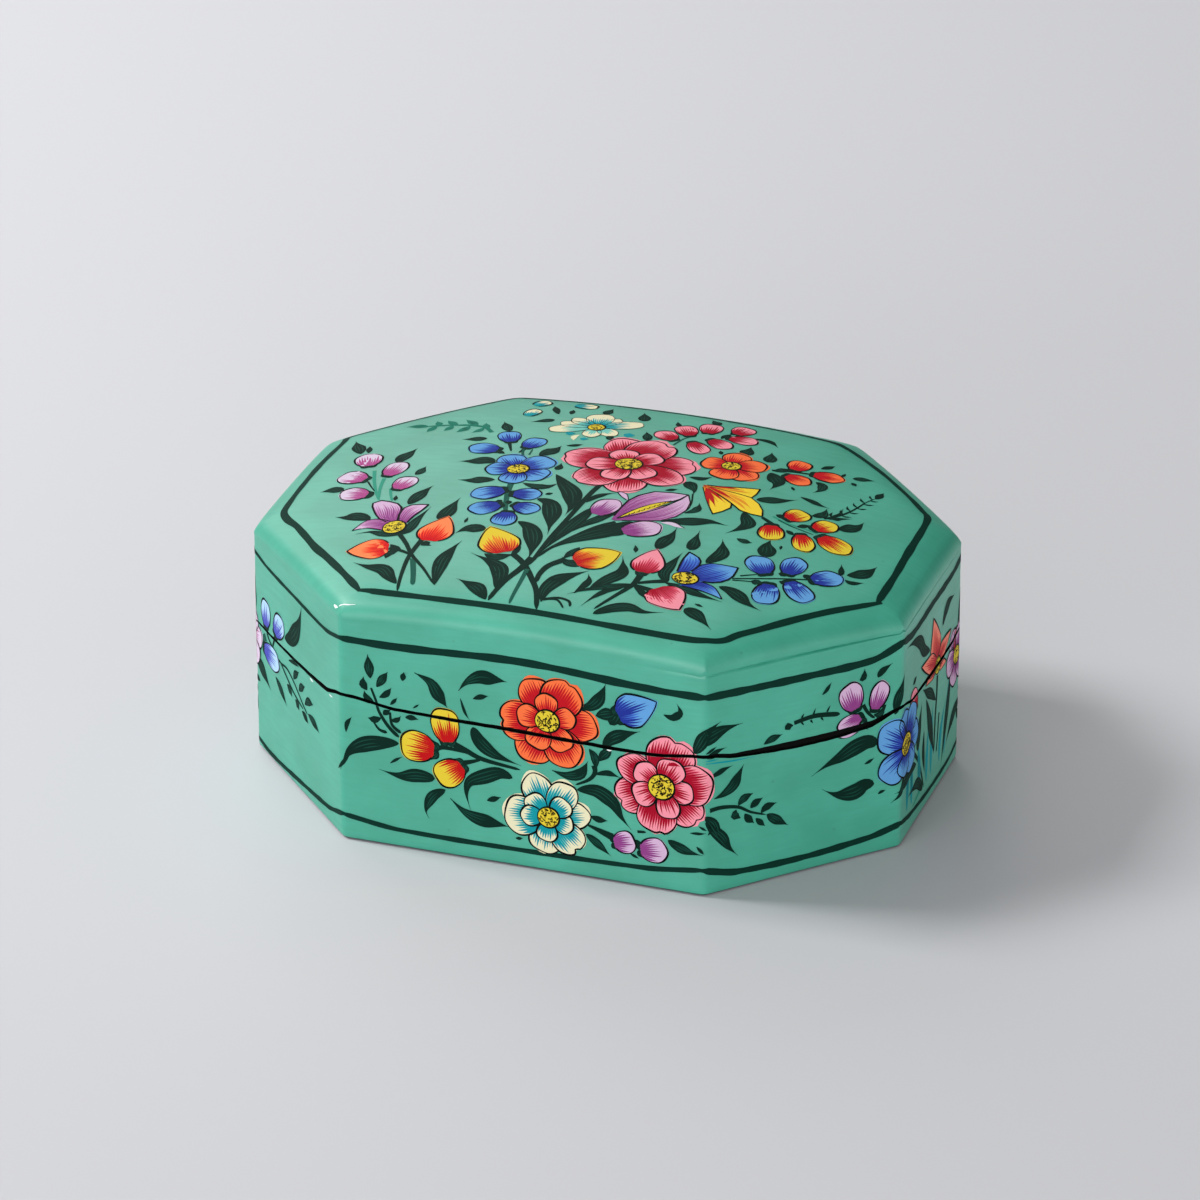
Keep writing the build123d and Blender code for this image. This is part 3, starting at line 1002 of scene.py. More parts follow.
    fern(canvas, 2.9, 6, 47.2, 8, 50, 11.5, 51.8, 16, 53, 21, 54.2, 24.2, thick=0.8, plump=0.24)
    leaf(canvas, 1.9, 54.3, 23.8, 54.6, 25.8, 54.9, 28)
    stem(canvas, 1.1, 0.8, -36, 26, -38.5, 28.7, -42, 29.4, -47, 29, -52, 27.7, pot="stain")
    for one in (
            (2.1, -40.6, 29.6, -42.4, 31.2, -44.6, 33), (2.0, -42.2, 28.9, -42.7, 27, -44, 24.8),
            (1.9, -45.3, 29.3, -46.7, 30.3, -48.6, 31.9), (1.8, -46.3, 28.8, -46.4, 27.2, -47.1, 25.1),
            (1.8, -49.4, 28.5, -49.9, 29.7, -50.9, 31.2), (1.8, -49.9, 28.2, -50.2, 26.6, -50.9, 24.1),
            (2.4, -51.6, 27.6, -54, 27.7, -56.7, 27.1), (1.8, -37.4, 28, -38.6, 29.6, -39.2, 31.4),
            (1.6, -38.6, 28.4, -39.2, 26.6, -40.4, 25)):
        leaf(canvas, *one, pot="stain")
    strokeAll(canvas, buds=(
        (-58.1, 6.5, 110, 7, 6.3, "mauve"), (-50.2, 2.2, 82, 7.6, 5.2, "mauve"),
        (-58.2, -3.2, 165, 6.6, 6.5, "mauve"), (-45.4, -4.8, 80, 6.8, 5.2, "mauve"),
        (-54.8, -11.6, 178, 6.4, 6.3, "mauve", 1.4), (-31.1, 24.2, 115, 6.4, 5.2, "cobalt"),
        (-24.5, 21.8, 75, 6.2, 5.1, "cobalt"), (-34.4, 16.3, 175, 6.8, 6, "cobalt"),
        (-25.4, -6.4, 215, 7.4, 6.2, "cobalt"), (-23.6, -13.7, 220, 7, 6, "cobalt"),
        (-16.7, -5.2, 10, 6.2, 5.8, "cobalt"), (-14.6, -11.8, -20, 6, 5.4, "cobalt"),
        (-17.6, -17.8, -85, 6.2, 5.6, "cobalt"), (2.1, 35.4, 140, 6, 5.2, "rose"),
        (5.3, 40.1, 120, 6.4, 5.2, "rose"), (9.9, 43.6, 95, 6.2, 5.3, "rose", 0.5),
        (16.9, 45.4, 75, 5.6, 5.4, "rose", 0.5), (18.8, 39.7, 0, 6.6, 5, "rose"),
        (14.7, 35.2, -30, 6.4, 4.9, "rose"), (10.9, 31, -50, 7, 4.8, "rose"),
        (34.3, 31.6, 85, 5.6, 5.4, "orange"), (41.9, 29, 5, 6.8, 5.4, "orange"),
        (36.3, 24, -20, 6.2, 5.2, "orange"), (41.6, 6.3, 60, 5.8, 5.8, "saffron"),
        (48.6, 4.3, 55, 5.8, 5.6, "saffron"), (38.9, -4, -75, 6.8, 5.8, "saffron"),
        (46.6, -5.4, -65, 7.6, 5, "saffron"), (53, -2.9, -30, 8.8, 6.4, "saffron"),
        (41.1, -18.9, 125, 7.6, 6.2, "cobalt"), (47.8, -16.2, 88, 7.6, 5.6, "cobalt"),
        (55.8, -17.8, 40, 7, 6.2, "cobalt"), (51.9, -25.9, -45, 8.6, 5.8, "cobalt"),
        (45.9, -29.9, -82, 8.2, 5.8, "cobalt"), (-31.3, 40.2, 80, 5.2, 3.6, "cream", 0),
        (-31.3, 47.2, 60, 4.6, 3.8, "cream", 0), (-21, 47.8, 0, 5.6, 3.6, "cream", 0),
        (1.9, -6.6, 79, 8.4, 6.2, "lilac", 0), (12.6, -13.9, 35, 8.8, 7, "lilac", 0)))
    for one in (
            (-30.1, -25.5, 88, 11.4, 8, "flame"), (-42.2, -36.6, 195, 9.2, 8.6, "flame"),
            (-15.7, -27.5, 123, 12.2, 9.2, "saffron"), (7.7, -28.9, 40, 10.8, 9.4, "saffron"),
            (18.8, -26.8, 90, 10.4, 7.3, "rose"), (27.3, -40.1, -42, 9.8, 9, "rose")):
        bud(canvas, *one, 0, "onion", "pointedBud")
    # the lilac lily and the blue lily, each petal by its left and its right edge
    for tone, width, left, right in (
            ("lilac", 7, (-41.6, -24.6, -45, -22.6, -48, -18, -48.8, -15.6, -47.4, -14.2),
             (-39.8, -24, -41, -20.4, -41.4, -17.4, -43.6, -15, -47.4, -14.2)),
            ("lilac", 4, (-40.2, -24.2, -41, -20.4, -41, -17, -39.4, -15.2, -36.2, -14.7),
             (-38, -24.6, -37.6, -21, -36.8, -18, -36.4, -16, -36.2, -14.7)),
            ("lilac", 4, (-41.4, -28.2, -44, -27.6, -46.6, -27.5, -48.8, -28.8),
             (-41, -24, -44.4, -23, -47.2, -24, -48.8, -28.8)),
            ("cobalt", 3.4, (25.7, -29.6, 25.3, -26, 25.2, -23, 25.5, -20),
             (27.9, -28.4, 29.2, -25.4, 28.6, -22, 25.5, -20)),
            ("cobalt", 7.5, (28.6, -28.8, 28.9, -25.6, 31.4, -22.8, 37.2, -22.2),
             (31, -31, 35, -30, 37.2, -26.8, 37.2, -22.2)),
            ("cobalt", 3.6, (31, -31, 33.6, -31.4, 35.4, -32.4, 38, -36),
             (27.6, -34.2, 31, -34.4, 34, -34.8, 38, -36))):
        paintPetal(canvas, edgedShape(left, right), width, tone, 4, **hatching["lily"])
    blossomHeart(canvas, -40, -26.2, 2.5, 9, 1.2)
    blossomHeart(canvas, 28.1, -30.9, 2.9, 9, 0.86)
    # the cream flower, more ground than tone
    for angle, reach, width, kind in (
            (100, 8.6, 6.4, "stained"), (28, 10.8, 4.6, "stained"), (-35, 6.8, 4.2, "pale"),
            (-88, 6.4, 4.2, "pale"), (204, 11, 4.4, "pale"), (178, 8.8, 3.8, "pale"),
            (152, 7.8, 3.8, "stained"), (60, 7.4, 3.4, "stained")):
        at = petalShape((-14.2, 35), angle, 1, reach, width)
        paintPetal(canvas, at, width, "cream", 4 + canvas.nextCoat(), line=0.5, **hatching[kind])
    blossomHeart(canvas, -14.2, 34.8, 2.0, 9)
    for x, y, size in ((-5.8, 32.8, 2.6), (-18.6, 29.8, 2.2), (-14.6, 27.4, 1.8), (-19.6, 37, 1.6)):
        leaf(canvas, size, x - size / 2, y, x, y - 0.3, x + size / 2, y + 0.2, pot="creamDeep")
    leaf(canvas, 1.4, -16.4, 29.2, -17.1, 27.6, -16.5, 25.6, pot="creamLight")
    blossom(canvas, -23, 6.8, "cobalt", 2.5, (
        (125, 8.4, 6.6), (52, 9, 7.4), (-22, 8, 7), (-85, 7.6, 6.2), (190, 7.2, 6.6)))
    blossom(canvas, -0.4, 16.2, "rose", 3.1, (
        (113, 15, 9.6), (77, 15, 11.4, (-0.35, 0.08)), (15, 15, 10.4, (0.3, 0.04)), (-25, 14.8, 9.4),
        (-77, 15, 10, (0.1, 0.03)), (-120, 14.6, 10.4, (-0.3, 0.04)), (176, 15.2, 11.2, (0.2, 0.04))),
        ((119, 8.2, 6.8), (50, 8.6, 6.4), (-43, 8.8, 7), (-101, 9.3, 6.4), (196, 9.4, 7)))
    blossom(canvas, 20.9, 24.1, "orange", 2.2, (
        (93, 7.6, 6.4), (25, 7.9, 6.4), (-42, 8.2, 6.8), (-93, 7.4, 6.6), (182, 6.8, 6.6)))
    # the yellow tulip
    for n, (left, right) in enumerate((
            ((18.2, 11.9, 22, 12.5, 26, 13.9, 30.4, 15.1),
             (18.2, 11.7, 22, 11, 26, 10.4, 30, 10, 30.4, 15.1)),
            ((18.2, 11.6, 21, 5.4, 23, 1.6, 24.7, -1.3),
             (18.4, 11.2, 22.6, 9, 27.3, 5, 26.4, 1, 24.7, -1.3)),
            ((18.4, 11.8, 25, 10.8, 30, 10, 33.6, 6.2, 34.9, 2.3),
             (18.6, 11.2, 23.4, 8, 27.3, 5, 30.4, 2.5, 34.9, 2.3)))):
        paintPetal(canvas, edgedShape(left, right), 5, "tulip", 4 + 4 * n, **hatching["tulip"])
    for pot, width, *values in (
            ("tulipDeep", 1.1, 19.4, 11.4, 23, 9.6, 27, 7.3),
            ("tulipDeep", 0.8, 19.2, 10.6, 22.4, 8, 25.6, 5),
            ("tulipDeep", 1.2, 19.4, 10.2, 21.7, 6.6, 24.2, 2.2),
            ("tulipDeep", 0.7, 19.6, 9.4, 21.4, 5.4, 23, 2),
            ("tulipDeep", 0.6, 21, 11.9, 24, 12.6, 27.4, 12.9),
            ("tulipMid", 1.0, 25, 9.2, 28.6, 7.4, 31.6, 4.8),
            ("tulipMid", 0.8, 26, 7.8, 28.6, 5.8, 31, 3.4),
            ("tulipMid", 0.7, 24, 11.6, 26.6, 12, 29, 12.2)):
        leaf(canvas, width, 0.45, *values, pot=pot, level=17)
    # the purple tulip with its yellow slit
    for n, (left, right) in enumerate((
            ((4.9, -12, 5.3, -4, 6.4, 0.4, 10, 4.5, 17, 5.5),
             (5.4, -12, 8, -7, 12, -2, 15.4, 1.6, 17, 5.5)),
            ((5.4, -11.6, 8.6, -7.6, 12.6, -3, 15.6, 1, 17, 5.5),
             (5.2, -12.2, 11, -10.4, 16, -8.2, 18.6, -3.6, 18.8, 1, 17, 5.5)))):
        paintPetal(canvas, edgedShape(left, right), 6.5, "lilac", 5 + 4 * n, **hatching["closedTulip"])
    slit = edgedShape((6, -10.8, 8.6, -5.4, 11.8, -1.2, 15.4, 1.4),
                      (6.2, -10.8, 9.6, -7.6, 13.2, -3, 15.6, 1))
    canvas.grid("pollen", 14, [
        [slit(1.0, r), slit(1.0 - 1.7 * math.sin(math.pi * min(1, r * 1.05)) ** 0.7, r)]
        for r in (0.02, 0.15, 0.3, 0.45, 0.6, 0.75, 0.9)])
    for k in range(9):
        spot = Vector((7.4 + k * 0.8, -9.2 + k * 1.15))
        stitch = [spot, spot + Vector((0.5, 0.5)), spot + Vector((0.5, 1.2))]
        ribbon(canvas, "ink", 15 + 0.1 * k, stitch, lambda t: 0.26)
    for line in ((5.9, -11, 8.4, -5.6, 11.6, -1.3, 15.3, 1.5),
                 (6.1, -11, 9.6, -7.8, 13.4, -3, 15.6, 1.3)):
        stem(canvas, 0.3, 0.3, *line, pot="ink", level=15)
    leaf(canvas, 1.6, 15.6, -9.6, 18, -9.2, 19.8, -10, 21.4, -10.4, pot="mauveLight", level=5)
    leaf(canvas, 1.5, 2, 1.6, 3.8, 0.4, 5.4, -1.8, pot="lilacLight", level=4)
    leaf(canvas, 0.3, -43.4, -54.4, -42.6, -55.2, -42, -55.6, pot="gesso")
    leaf(canvas, 0.2, -41.8, -55.5, -40, -55.8, -38, -55.8, pot="gesso")
    for line in ((15.4, -9, 18, -8.5, 20, -9.4, 21.4, -10.4), (2, 1.8, 4.2, 1, 5.6, -1.8),
                 (1.9, 1.4, 3.4, -0.4, 5.2, -2)):
        stem(canvas, 0.3, 0.2, *line, pot="ink", level=8)


# The walls: across to the right from the middle of a side, then the height.
def paintFront(canvas, first="orange", second="cream", third="rose", buds="saffron"):
    strokeAll(canvas, stems=(
        (0.5, 1.0, -34.2, 38.1, -33.2, 35.3, -32.3, 32.4, -30.3, 29.3, -27.9, 27.1),
        (0.5, 0.9, -29.9, 33, -29.5, 29.9, -27.4, 28.2),
        (0.4, 0.9, -33.7, 29.8, -32.4, 28.2, -30.6, 27.8),
        (1.6, 0.6, -16.8, 28.1, -12.8, 26.5, -8.7, 24.9, -0.3, 23.8),
        (1.3, 0.4, -20, 25, -18.1, 26.3, -13, 26, -10, 25.3),
        (1.5, 0.5, -14.6, 22.9, -11.8, 23.8, -9.1, 24.8),
        (1.3, 0.4, 16.4, 27.6, 16.6, 25.9, 15.2, 24, 12.2, 22.3),
        (0.4, 2.0, 14.9, 13.1, 18, 12, 21, 10.9), (0.7, 0.6, 26.2, 13.4, 28.2, 13.6)),
        leaves=(
        # the curled fern at the left
        (2.3, -34.3, 40.4, -34.6, 43, -34.9, 46), (2.0, -32.9, 38.5, -31.4, 40.8, -30.3, 42.5),
        (1.9, -35.1, 37.4, -36, 38.8, -35.9, 40.6), (1.5, -32.3, 36, -30.8, 37, -29.5, 38.8),
        (1.6, -33.6, 34.6, -35.2, 35.4, -35.8, 37.2), (0.9, -29.8, 34.5, -28.2, 36.6),
        (1.8, -32, 31.1, -33.6, 30.4, -35, 30.6), (1.3, -29.8, 30.9, -28.4, 31.2, -27.4, 32.4),
        (1.6, -31.4, 32, -30.6, 33, -29.8, 33.6), (0.5, -24.6, 34.6, -23.2, 35.8),
        (1.6, -26.4, 32.2, -25, 32.5, -23.4, 32.2),
        # round the orange rose
        (3.1, 0.62, -24.2, 43.3, -20.6, 41.6, -18.9, 38.9, -16.8, 36.1),
        (3.4, 0.62, -14.2, 40.6, -12.4, 42.9, -9.5, 44.6, -6.8, 44.7, -3.2, 44.5),
        (1.3, -10.9, 39.2, -9.3, 39.9, -7.4, 40.4), (0.7, -13.8, 38.8, -12.8, 35.6, -11.7, 33.6),
        (1.4, -27, 40.9, -26.6, 43), (3.3, 0.38, -11, 32.6, -9.7, 29.4, -6.2, 26.6, -0.1, 24.8),
        (2.9, 12.8, 40.9, 15.6, 41.8, 17.6, 43.9, 19.1, 47.8),
        (1.8, 32, 42.5, 34, 42.1, 35.7, 43.6, 34.9, 45.6),
        (3.3, 0.42, 18.5, 32.1, 20.3, 34.6, 22.8, 36.2, 26.8, 37.7),
        (2.4, 20.2, 32.8, 18.8, 30.8, 17, 28.4), (2.0, 15.3, 31.6, 16.6, 29.6, 16.8, 26.4),
        (1.4, 16.4, 25.5, 19.2, 26.3, 20.8, 26.1, 22.5, 25.6),
        (2.6, 0.6, 6.9, 24.9, 10.4, 24.2, 13.4, 25.2, 15, 28.4),
        # the spray in the middle
        (3.7, 0.42, -28, 25.6, -31.5, 25.2, -36, 24, -39.5, 21.6, -41.9, 16.9),
        (3.3, 0.35, -19.8, 18.4, -23.7, 18.5, -28, 17.8, -32.6, 18.6),
        (2.5, 0.42, -17.4, 16.1, -20.2, 14.2, -21.6, 11.6, -21.9, 9.8, -21.2, 8.5),
        (3.5, 0.38, -2.1, 21.5, -5, 22.2, -8.5, 20.8, -11.9, 18.9, -12.6, 15.9, -11.7, 12.2),
        (1.4, -7.9, 15.1, -6.4, 15.7, -4.7, 16.4),
        (3.3, 0.62, -16.3, 14.2, -13.4, 11.7, -10.3, 10.4, -6.8, 9.9, -2.9, 9.5),
        (1.1, -40.1, 26.3, -39.9, 28.1, -38.7, 30), (0.7, -30, 20.5, -28.6, 21.6, -27.2, 22.5),
        (0.8, -1.4, 7, 0.2, 7.2), (3.5, 0.42, 12.6, 21.2, 17, 21.6, 20.6, 19.4, 22.6, 16.2, 24.8, 13.6),
        (1.6, 15.6, 15.3, 17.5, 14.8, 19.5, 14.8), (2.0, 0.45, 14.6, 10.8, 16.6, 9.4, 20.2, 6.4),
        # under and over the pink rose
        (2.4, 0.4, 33.1, 12.5, 35.6, 11.2, 38.2, 10.4, 41, 10.1),
        (3.3, 0.42, 38.9, 34.1, 40.2, 36.6, 42, 39.5, 45.2, 41.6), (0.8, 41.6, 34.2, 44.2, 35.7),
        (0.7, 38.1, 15.1, 41.7, 15.4), (2.4, 0.4, 41.4, 19.4, 43.4, 17.4, 44.6, 14.6, 45.4, 11.6),
        (1.6, 24.8, 10.8, 27.6, 10.4), (0.7, 24.6, 7.8, 26.6, 6.9),
        (2.8, 0.4, 20, 38.2, 21.6, 41, 22, 42.6), (3.0, 16.8, 39.8, 19.4, 40.6, 22, 41.2)),
        buds=(
        (-17.3, 31.7, 98, 8.2, 6.4, buds, 0.6), (-23.7, 25.6, 175, 7.8, 7.4, buds, 0.9),
        (-16.4, 20.4, 218, 7.2, 6.6, buds, 0.9), (23.3, 10.3, 12, 5, 5.4, "lilac", 0.3),
        (29.9, 9.5, 8, 6.2, 6, "lilac", 0.3)))
    bud(canvas, 26, 42.9, 28, 9.6, 8, "cobalt", 0.6, "onion", "opening")
    blossom(canvas, 5.9, 36.6, first, 2.8, (
        (113, 10.4, 7.8), (62, 11, 9.6, (0, 0.06)), (0, 11.3, 8), (-60, 11.5, 8.8), (-115, 11.3, 8.8),
        (188, 10.8, 9.4, (0, 0.06))),
        ((93, 6.6, 5.2), (18, 6.6, 5.2), (-55, 7.8, 5.8), (-115, 7.5, 5.8), (172, 6.9, 5.8)))
    blossom(canvas, 6.1, 13.4, second, 2.5, (
        (112, 10.6, 7.2), (60, 10, 6.8), (13, 9.6, 6.4), (-45, 10, 7.8, (-0.1, 0.1)), (-97, 8.8, 7.6),
        (185, 10, 9.6)),
        ((135, 6.6, 5), (45, 6.3, 5.2), (-18, 5.8, 4.8), (-95, 5.9, 4.8), (183, 6.3, 5)))
    blossom(canvas, 31.6, 25.1, third, 3, (
        (75, 12.3, 11, (0, 0.07)), (150, 10.9, 7.4), (205, 11, 8.8, (0.1, 0.08)),
        (-98, 11.4, 9, (0.3, 0.06)), (-40, 11, 8.4, (0, 0.06)), (12, 11.8, 9.6)),
        ((143, 7.1, 5.8), (64, 7.6, 6.6), (-8, 7.3, 5.6), (-72, 7.6, 5.4), (210, 7.1, 6)))
    leaf(canvas, 1.0, 32.8, 30.6, 34.3, 31.1, 35.8, 30.8, pot="roseDeep", level=24)
    # where the gesso shows and a little blue has run into the seam
    leaf(canvas, 0.6, 19.3, 32.3, 20.4, 32.25, pot="gesso", level=3)
    leaf(canvas, 0.4, 41.6, 32.9, 44.6, 32.8, pot="creamDeep", level=3)


def paintRightCut(canvas, corner="cobalt"):
    strokeAll(canvas, stems=(
        (1.1, 0.4, -22.9, 20.7, -20, 20.8, -16, 19.9, -13, 18, -9.2, 16.4),
        (1.0, 1.2, -2.6, 37.2, 1, 37.7, 4, 37.6, 8.6, 36.7),
        (0.9, 0.7, 14.3, 37.5, 15.4, 35.3, 17.2, 32.8), (0.9, 0.7, 19.6, 36, 19, 34, 17.6, 32.4),
        (0.5, 0.4, -0.8, 38, -0.2, 38.9), (0.5, 0.4, 2, 38, 2.6, 39.4), (0.5, 0.4, 5.4, 38, 6.2, 39.3),
        (0.5, 0.4, -0.8, 37, -0.2, 36.1), (0.5, 0.4, 1.4, 37, 2, 36.1), (0.5, 0.4, 4, 37, 4.6, 36.1)),
        leaves=(
        (3.7, 0.36, -26, 35.8, -24.6, 37.6, -22.6, 38.5, -19.6, 39.5, -15.1, 40),
        (1.4, -23.8, 33.6, -22.3, 33.9, -20.8, 34.5, -19, 35),
        (1.4, -23.3, 28.6, -21.2, 29.2, -19.6, 29.8, -17.4, 30.3),
        (2.7, 0.55, -21.9, 23.3, -19.5, 24, -17.3, 25.4, -16, 27.6, -14.7, 30),
        (2.7, 0.45, -24, 18, -21.8, 15.6, -19.7, 13.2, -18.3, 10.8, -16, 8.2),
        (0.7, -23.4, 14.9, -22.8, 15.5, -22.7, 16.5), (0.9, -26, 12, -24.2, 10.3),
        (0.6, -25.5, 17, -23.6, 16), (1.0, 4.2, 42.1, 5.2, 42.9, 6.4, 44.5),
        (1.6, 0.4, 13.3, 43.4, 14.3, 43.8, 14.5, 45.8), (1.7, 0.4, 17.8, 43, 18.8, 44.2, 21.4, 45.6),
        (2.7, 0.42, 22.3, 33.2, 22.9, 36, 23.9, 38.8, 25.2, 42.2),
        (4.1, 0.32, 18, 26.8, 15.5, 27.8, 12.5, 27.2, 9, 25.7, 5.5, 24.5, 1.8, 22.8),
        (4.0, 0.36, 17.4, 17.3, 15.2, 17.6, 12.8, 16.6, 10, 16.6, 7.5, 17.2, 4.5, 19.1),
        (0.8, 14.9, 22.7, 16, 23, 17.3, 23.6), (0.8, 18.4, 14.6, 19, 14.9, 20.3, 15.1),
        (2.0, 0.42, 25.9, 17.5, 25.4, 14.6, 23.8, 12.8, 21.6, 11.6),
        # the two ferns
        (2.0, -16, 20.3, -14.8, 21.6, -12.4, 22.4), (1.9, -13, 18.9, -12, 19.8, -10, 20.7),
        (1.9, -10.4, 17.1, -9.2, 18.2, -6.6, 18.7), (2.3, 0.45, -9, 16.4, -7, 14.8, -3.7, 12.5),
        (2.0, -16.5, 19.4, -16.9, 18.2, -15.4, 17.1), (1.8, -14.4, 17.9, -13.6, 16.6, -12.1, 15.1),
        (1.4, -11.7, 16.1, -10.9, 15.2, -9.4, 13.7), (2.3, -9.9, 33.1, -7.8, 34.3, -5.4, 35),
        (2.0, -4.8, 36.1, -3.9, 36.7, -2.8, 36.7), (2.0, 17, 34.2, 18.4, 33.6, 19.5, 35.8),
        (2.0, 13, 31.6, 14, 33.4, 15.6, 31.6)),
        buds=((11.4, 39.9, 108, 6.6, 5.8, "lilac"), (18.2, 38.6, 72, 6.6, 4.6, "lilac"),
              (11, 33.2, 205, 6, 5, "lilac")))
    blossom(canvas, 27.5, 23.9, corner, 3.1, (
        (147, 10.6, 8.2), (218, 10.4, 7.6), (100, 8.8, 6), (52, 9.6, 7), (-6, 9, 7), (-58, 9.2, 6.6),
        (-105, 7.6, 6.2)), squash=0.85)
    leaf(canvas, 0.5, -24, 32.2, -18, 31.7, -12, 31.6, pot="creamDeep", level=3)


grass = {
    "feet": (-17.4, -14, -8.2, -2.6, 0.8, 7.4, 11.4),
    "low": 6.5,
    "height": (13, 19),
    "sway": (-3, 4),
    "width": (1.5, 2.2),
}


def paintRightSide(canvas, lily="coral"):
    strokeAll(canvas, stems=(
        (1.2, 0.6, -14, 19.5, -9, 14.5, -6.3, 9.8, -4.6, 6),
        (1.2, 0.8, 4.5, 29, 4.2, 24, 3.5, 19, 3, 11), (0.8, 0.6, 6.5, 19, 5.5, 12, 5, 10)),
        leaves=(
        (3.3, 0.42, -2, 38.5, -6.5, 40.5, -9.5, 43.8, -14.5, 46.2, -20, 47.3),
        (3.0, 0.42, 8, 39.8, 10, 42, 13, 43.2, 17.2, 43), (1.4, -14.6, 36, -12, 37),
        (2.7, 3.5, 23.5, 0, 26.5, -3.4, 28.6, -7.2, 31.5), (3.3, 0.42, -9.8, 17.5, -9.4, 22, -7.3, 28),
        (3.3, -4, 27, -1.6, 22, 0.5, 16.5, 3, 10.5), (1.8, -5.2, 20, -5.4, 15, -4, 9),
        (3.4, 0.45, -11, 14.8, -16, 15.6, -20, 14.2, -24, 13.6),
        (2.8, 0.36, -5.5, 6, -9, 9.2, -12, 9.8, -17.5, 9.6),
        (2.8, 0.42, 15, 24, 13, 17, 11.5, 12, 9, 4), (3.0, 0.42, 23, 15, 19, 13.5, 15, 10.5, 12.5, 8)))
    for n, (angle, reach, width) in enumerate((
            (105, 12.8, 8), (158, 13, 5.4), (18, 11.6, 5), (188, 8.6, 3.8), (-22, 8.2, 3.6))):
        at = petalShape((3.8, 32.4), angle, 0.8, reach, width, cap="point")
        paintPetal(canvas, at, width, lily, 5 + 4 * (n % 3), **hatching["star"])
    blossomHeart(canvas, 4.4, 31.6, 2.0, 17)
    strokeAll(canvas, buds=(
        (15.2, 28, 100, 5.4, 4.4, "lilac", 0.6), (19.4, 31, 70, 6, 5, "rose", 0.8),
        (-13.6, 31.6, 120, 6.4, 5.2, "rose", 0.8)))
    leaf(canvas, 0.9, -13, 5.4, -8, 6.4, -4, 6.6, pot="sap", level=1)
    low = grass["low"]
    for foot in grass["feet"]:
        reach, sway = hand.uniform(*grass["height"]), hand.uniform(*grass["sway"])
        leaf(canvas, hand.uniform(*grass["width"]), 0.45, foot, low, foot + 0.2 * sway,
             low + reach / 2, foot + sway, low + reach, pot="creamDeep", level=0)


def paintLeftCut(canvas, corner="mauve", buds="sky"):
    stem(canvas, 2.2, 0.6, -18, 29.8, -20.5, 28.3, -23, 27, pot="stem")
    strokeAll(canvas, stems=(
        (0.6, 0.5, -9.5, 27, -6, 27.3, -2, 25.8, 3, 22.8, 5.4, 21.6),
        (0.6, 0.5, -9.5, 27, -6.2, 25.2, -2, 23.2, 3, 21.8),
        (1.0, 0.6, -17.8, 32.4, -16.6, 30.4, -14.4, 29), (1.0, 0.6, -12, 33.6, -13.4, 31, -14.2, 29),
        (0.7, 0.5, -14.3, 29.2, -12, 27.6, -9.3, 27)),
        leaves=(
        (4.4, 0.4, -6.9, 34.8, -3.6, 36.2, -0.8, 38.8, 1.5, 42.2, 3.2, 47.1),
        (2.9, 0.4, -26, 33.3, -24.7, 36.5, -24.4, 44),
        (3.3, 0.4, -24, 22.5, -21.5, 21.4, -18.8, 19.6, -15.8, 17.7), (1.4, -24.7, 17.8, -21.8, 17.2),
        (2.0, -26, 13, -24.6, 11, -23.4, 9.5), (2.1, -12.8, 22.4, -10, 20.8, -6.6, 18.1),
        (1.0, 22.5, 16.7, 24.5, 18.8, 26.6, 21.5), (1.3, -4.9, 30.2, -2, 31.2, 1.2, 31.5),
        (2.0, -2.2, 26.6, -1.2, 28.2, 0.8, 29.8), (2.0, 0.8, 25.2, 2, 26.5, 4.2, 27.7),
        (2.0, 4, 23.4, 6, 25, 8.8, 25.4), (2.2, 5.8, 21.9, 9, 21.3, 11.9, 20.1),
        (2.0, -6.1, 23.6, -4.4, 23, -3.4, 21.8), (2.0, -1.5, 22, -0.4, 21.6, 0.6, 20.4),
        (1.9, 2.3, 21, 4, 20.5, 5.8, 19.5)),
        buds=((-17.8, 36, 88, 7, 5.2, buds), (-10.4, 36, 55, 7, 5.8, buds),
              (-14.8, 26.2, -5, 8.6, 5.6, buds)))
    blossom(canvas, -27.4, 27.2, corner, 2.3, (
        (120, 7.6, 6), (62, 7.4, 5.6), (8, 7.2, 5.8), (-50, 7.4, 5.8), (-110, 7.2, 6), (182, 7.6, 6.4)))
    leaf(canvas, 0.7, 7.2, 31.7, 9.2, 31.6, pot="gesso", level=3)
    leaf(canvas, 0.4, 18, 32.7, 20, 32.7, pot="gesso", level=3)


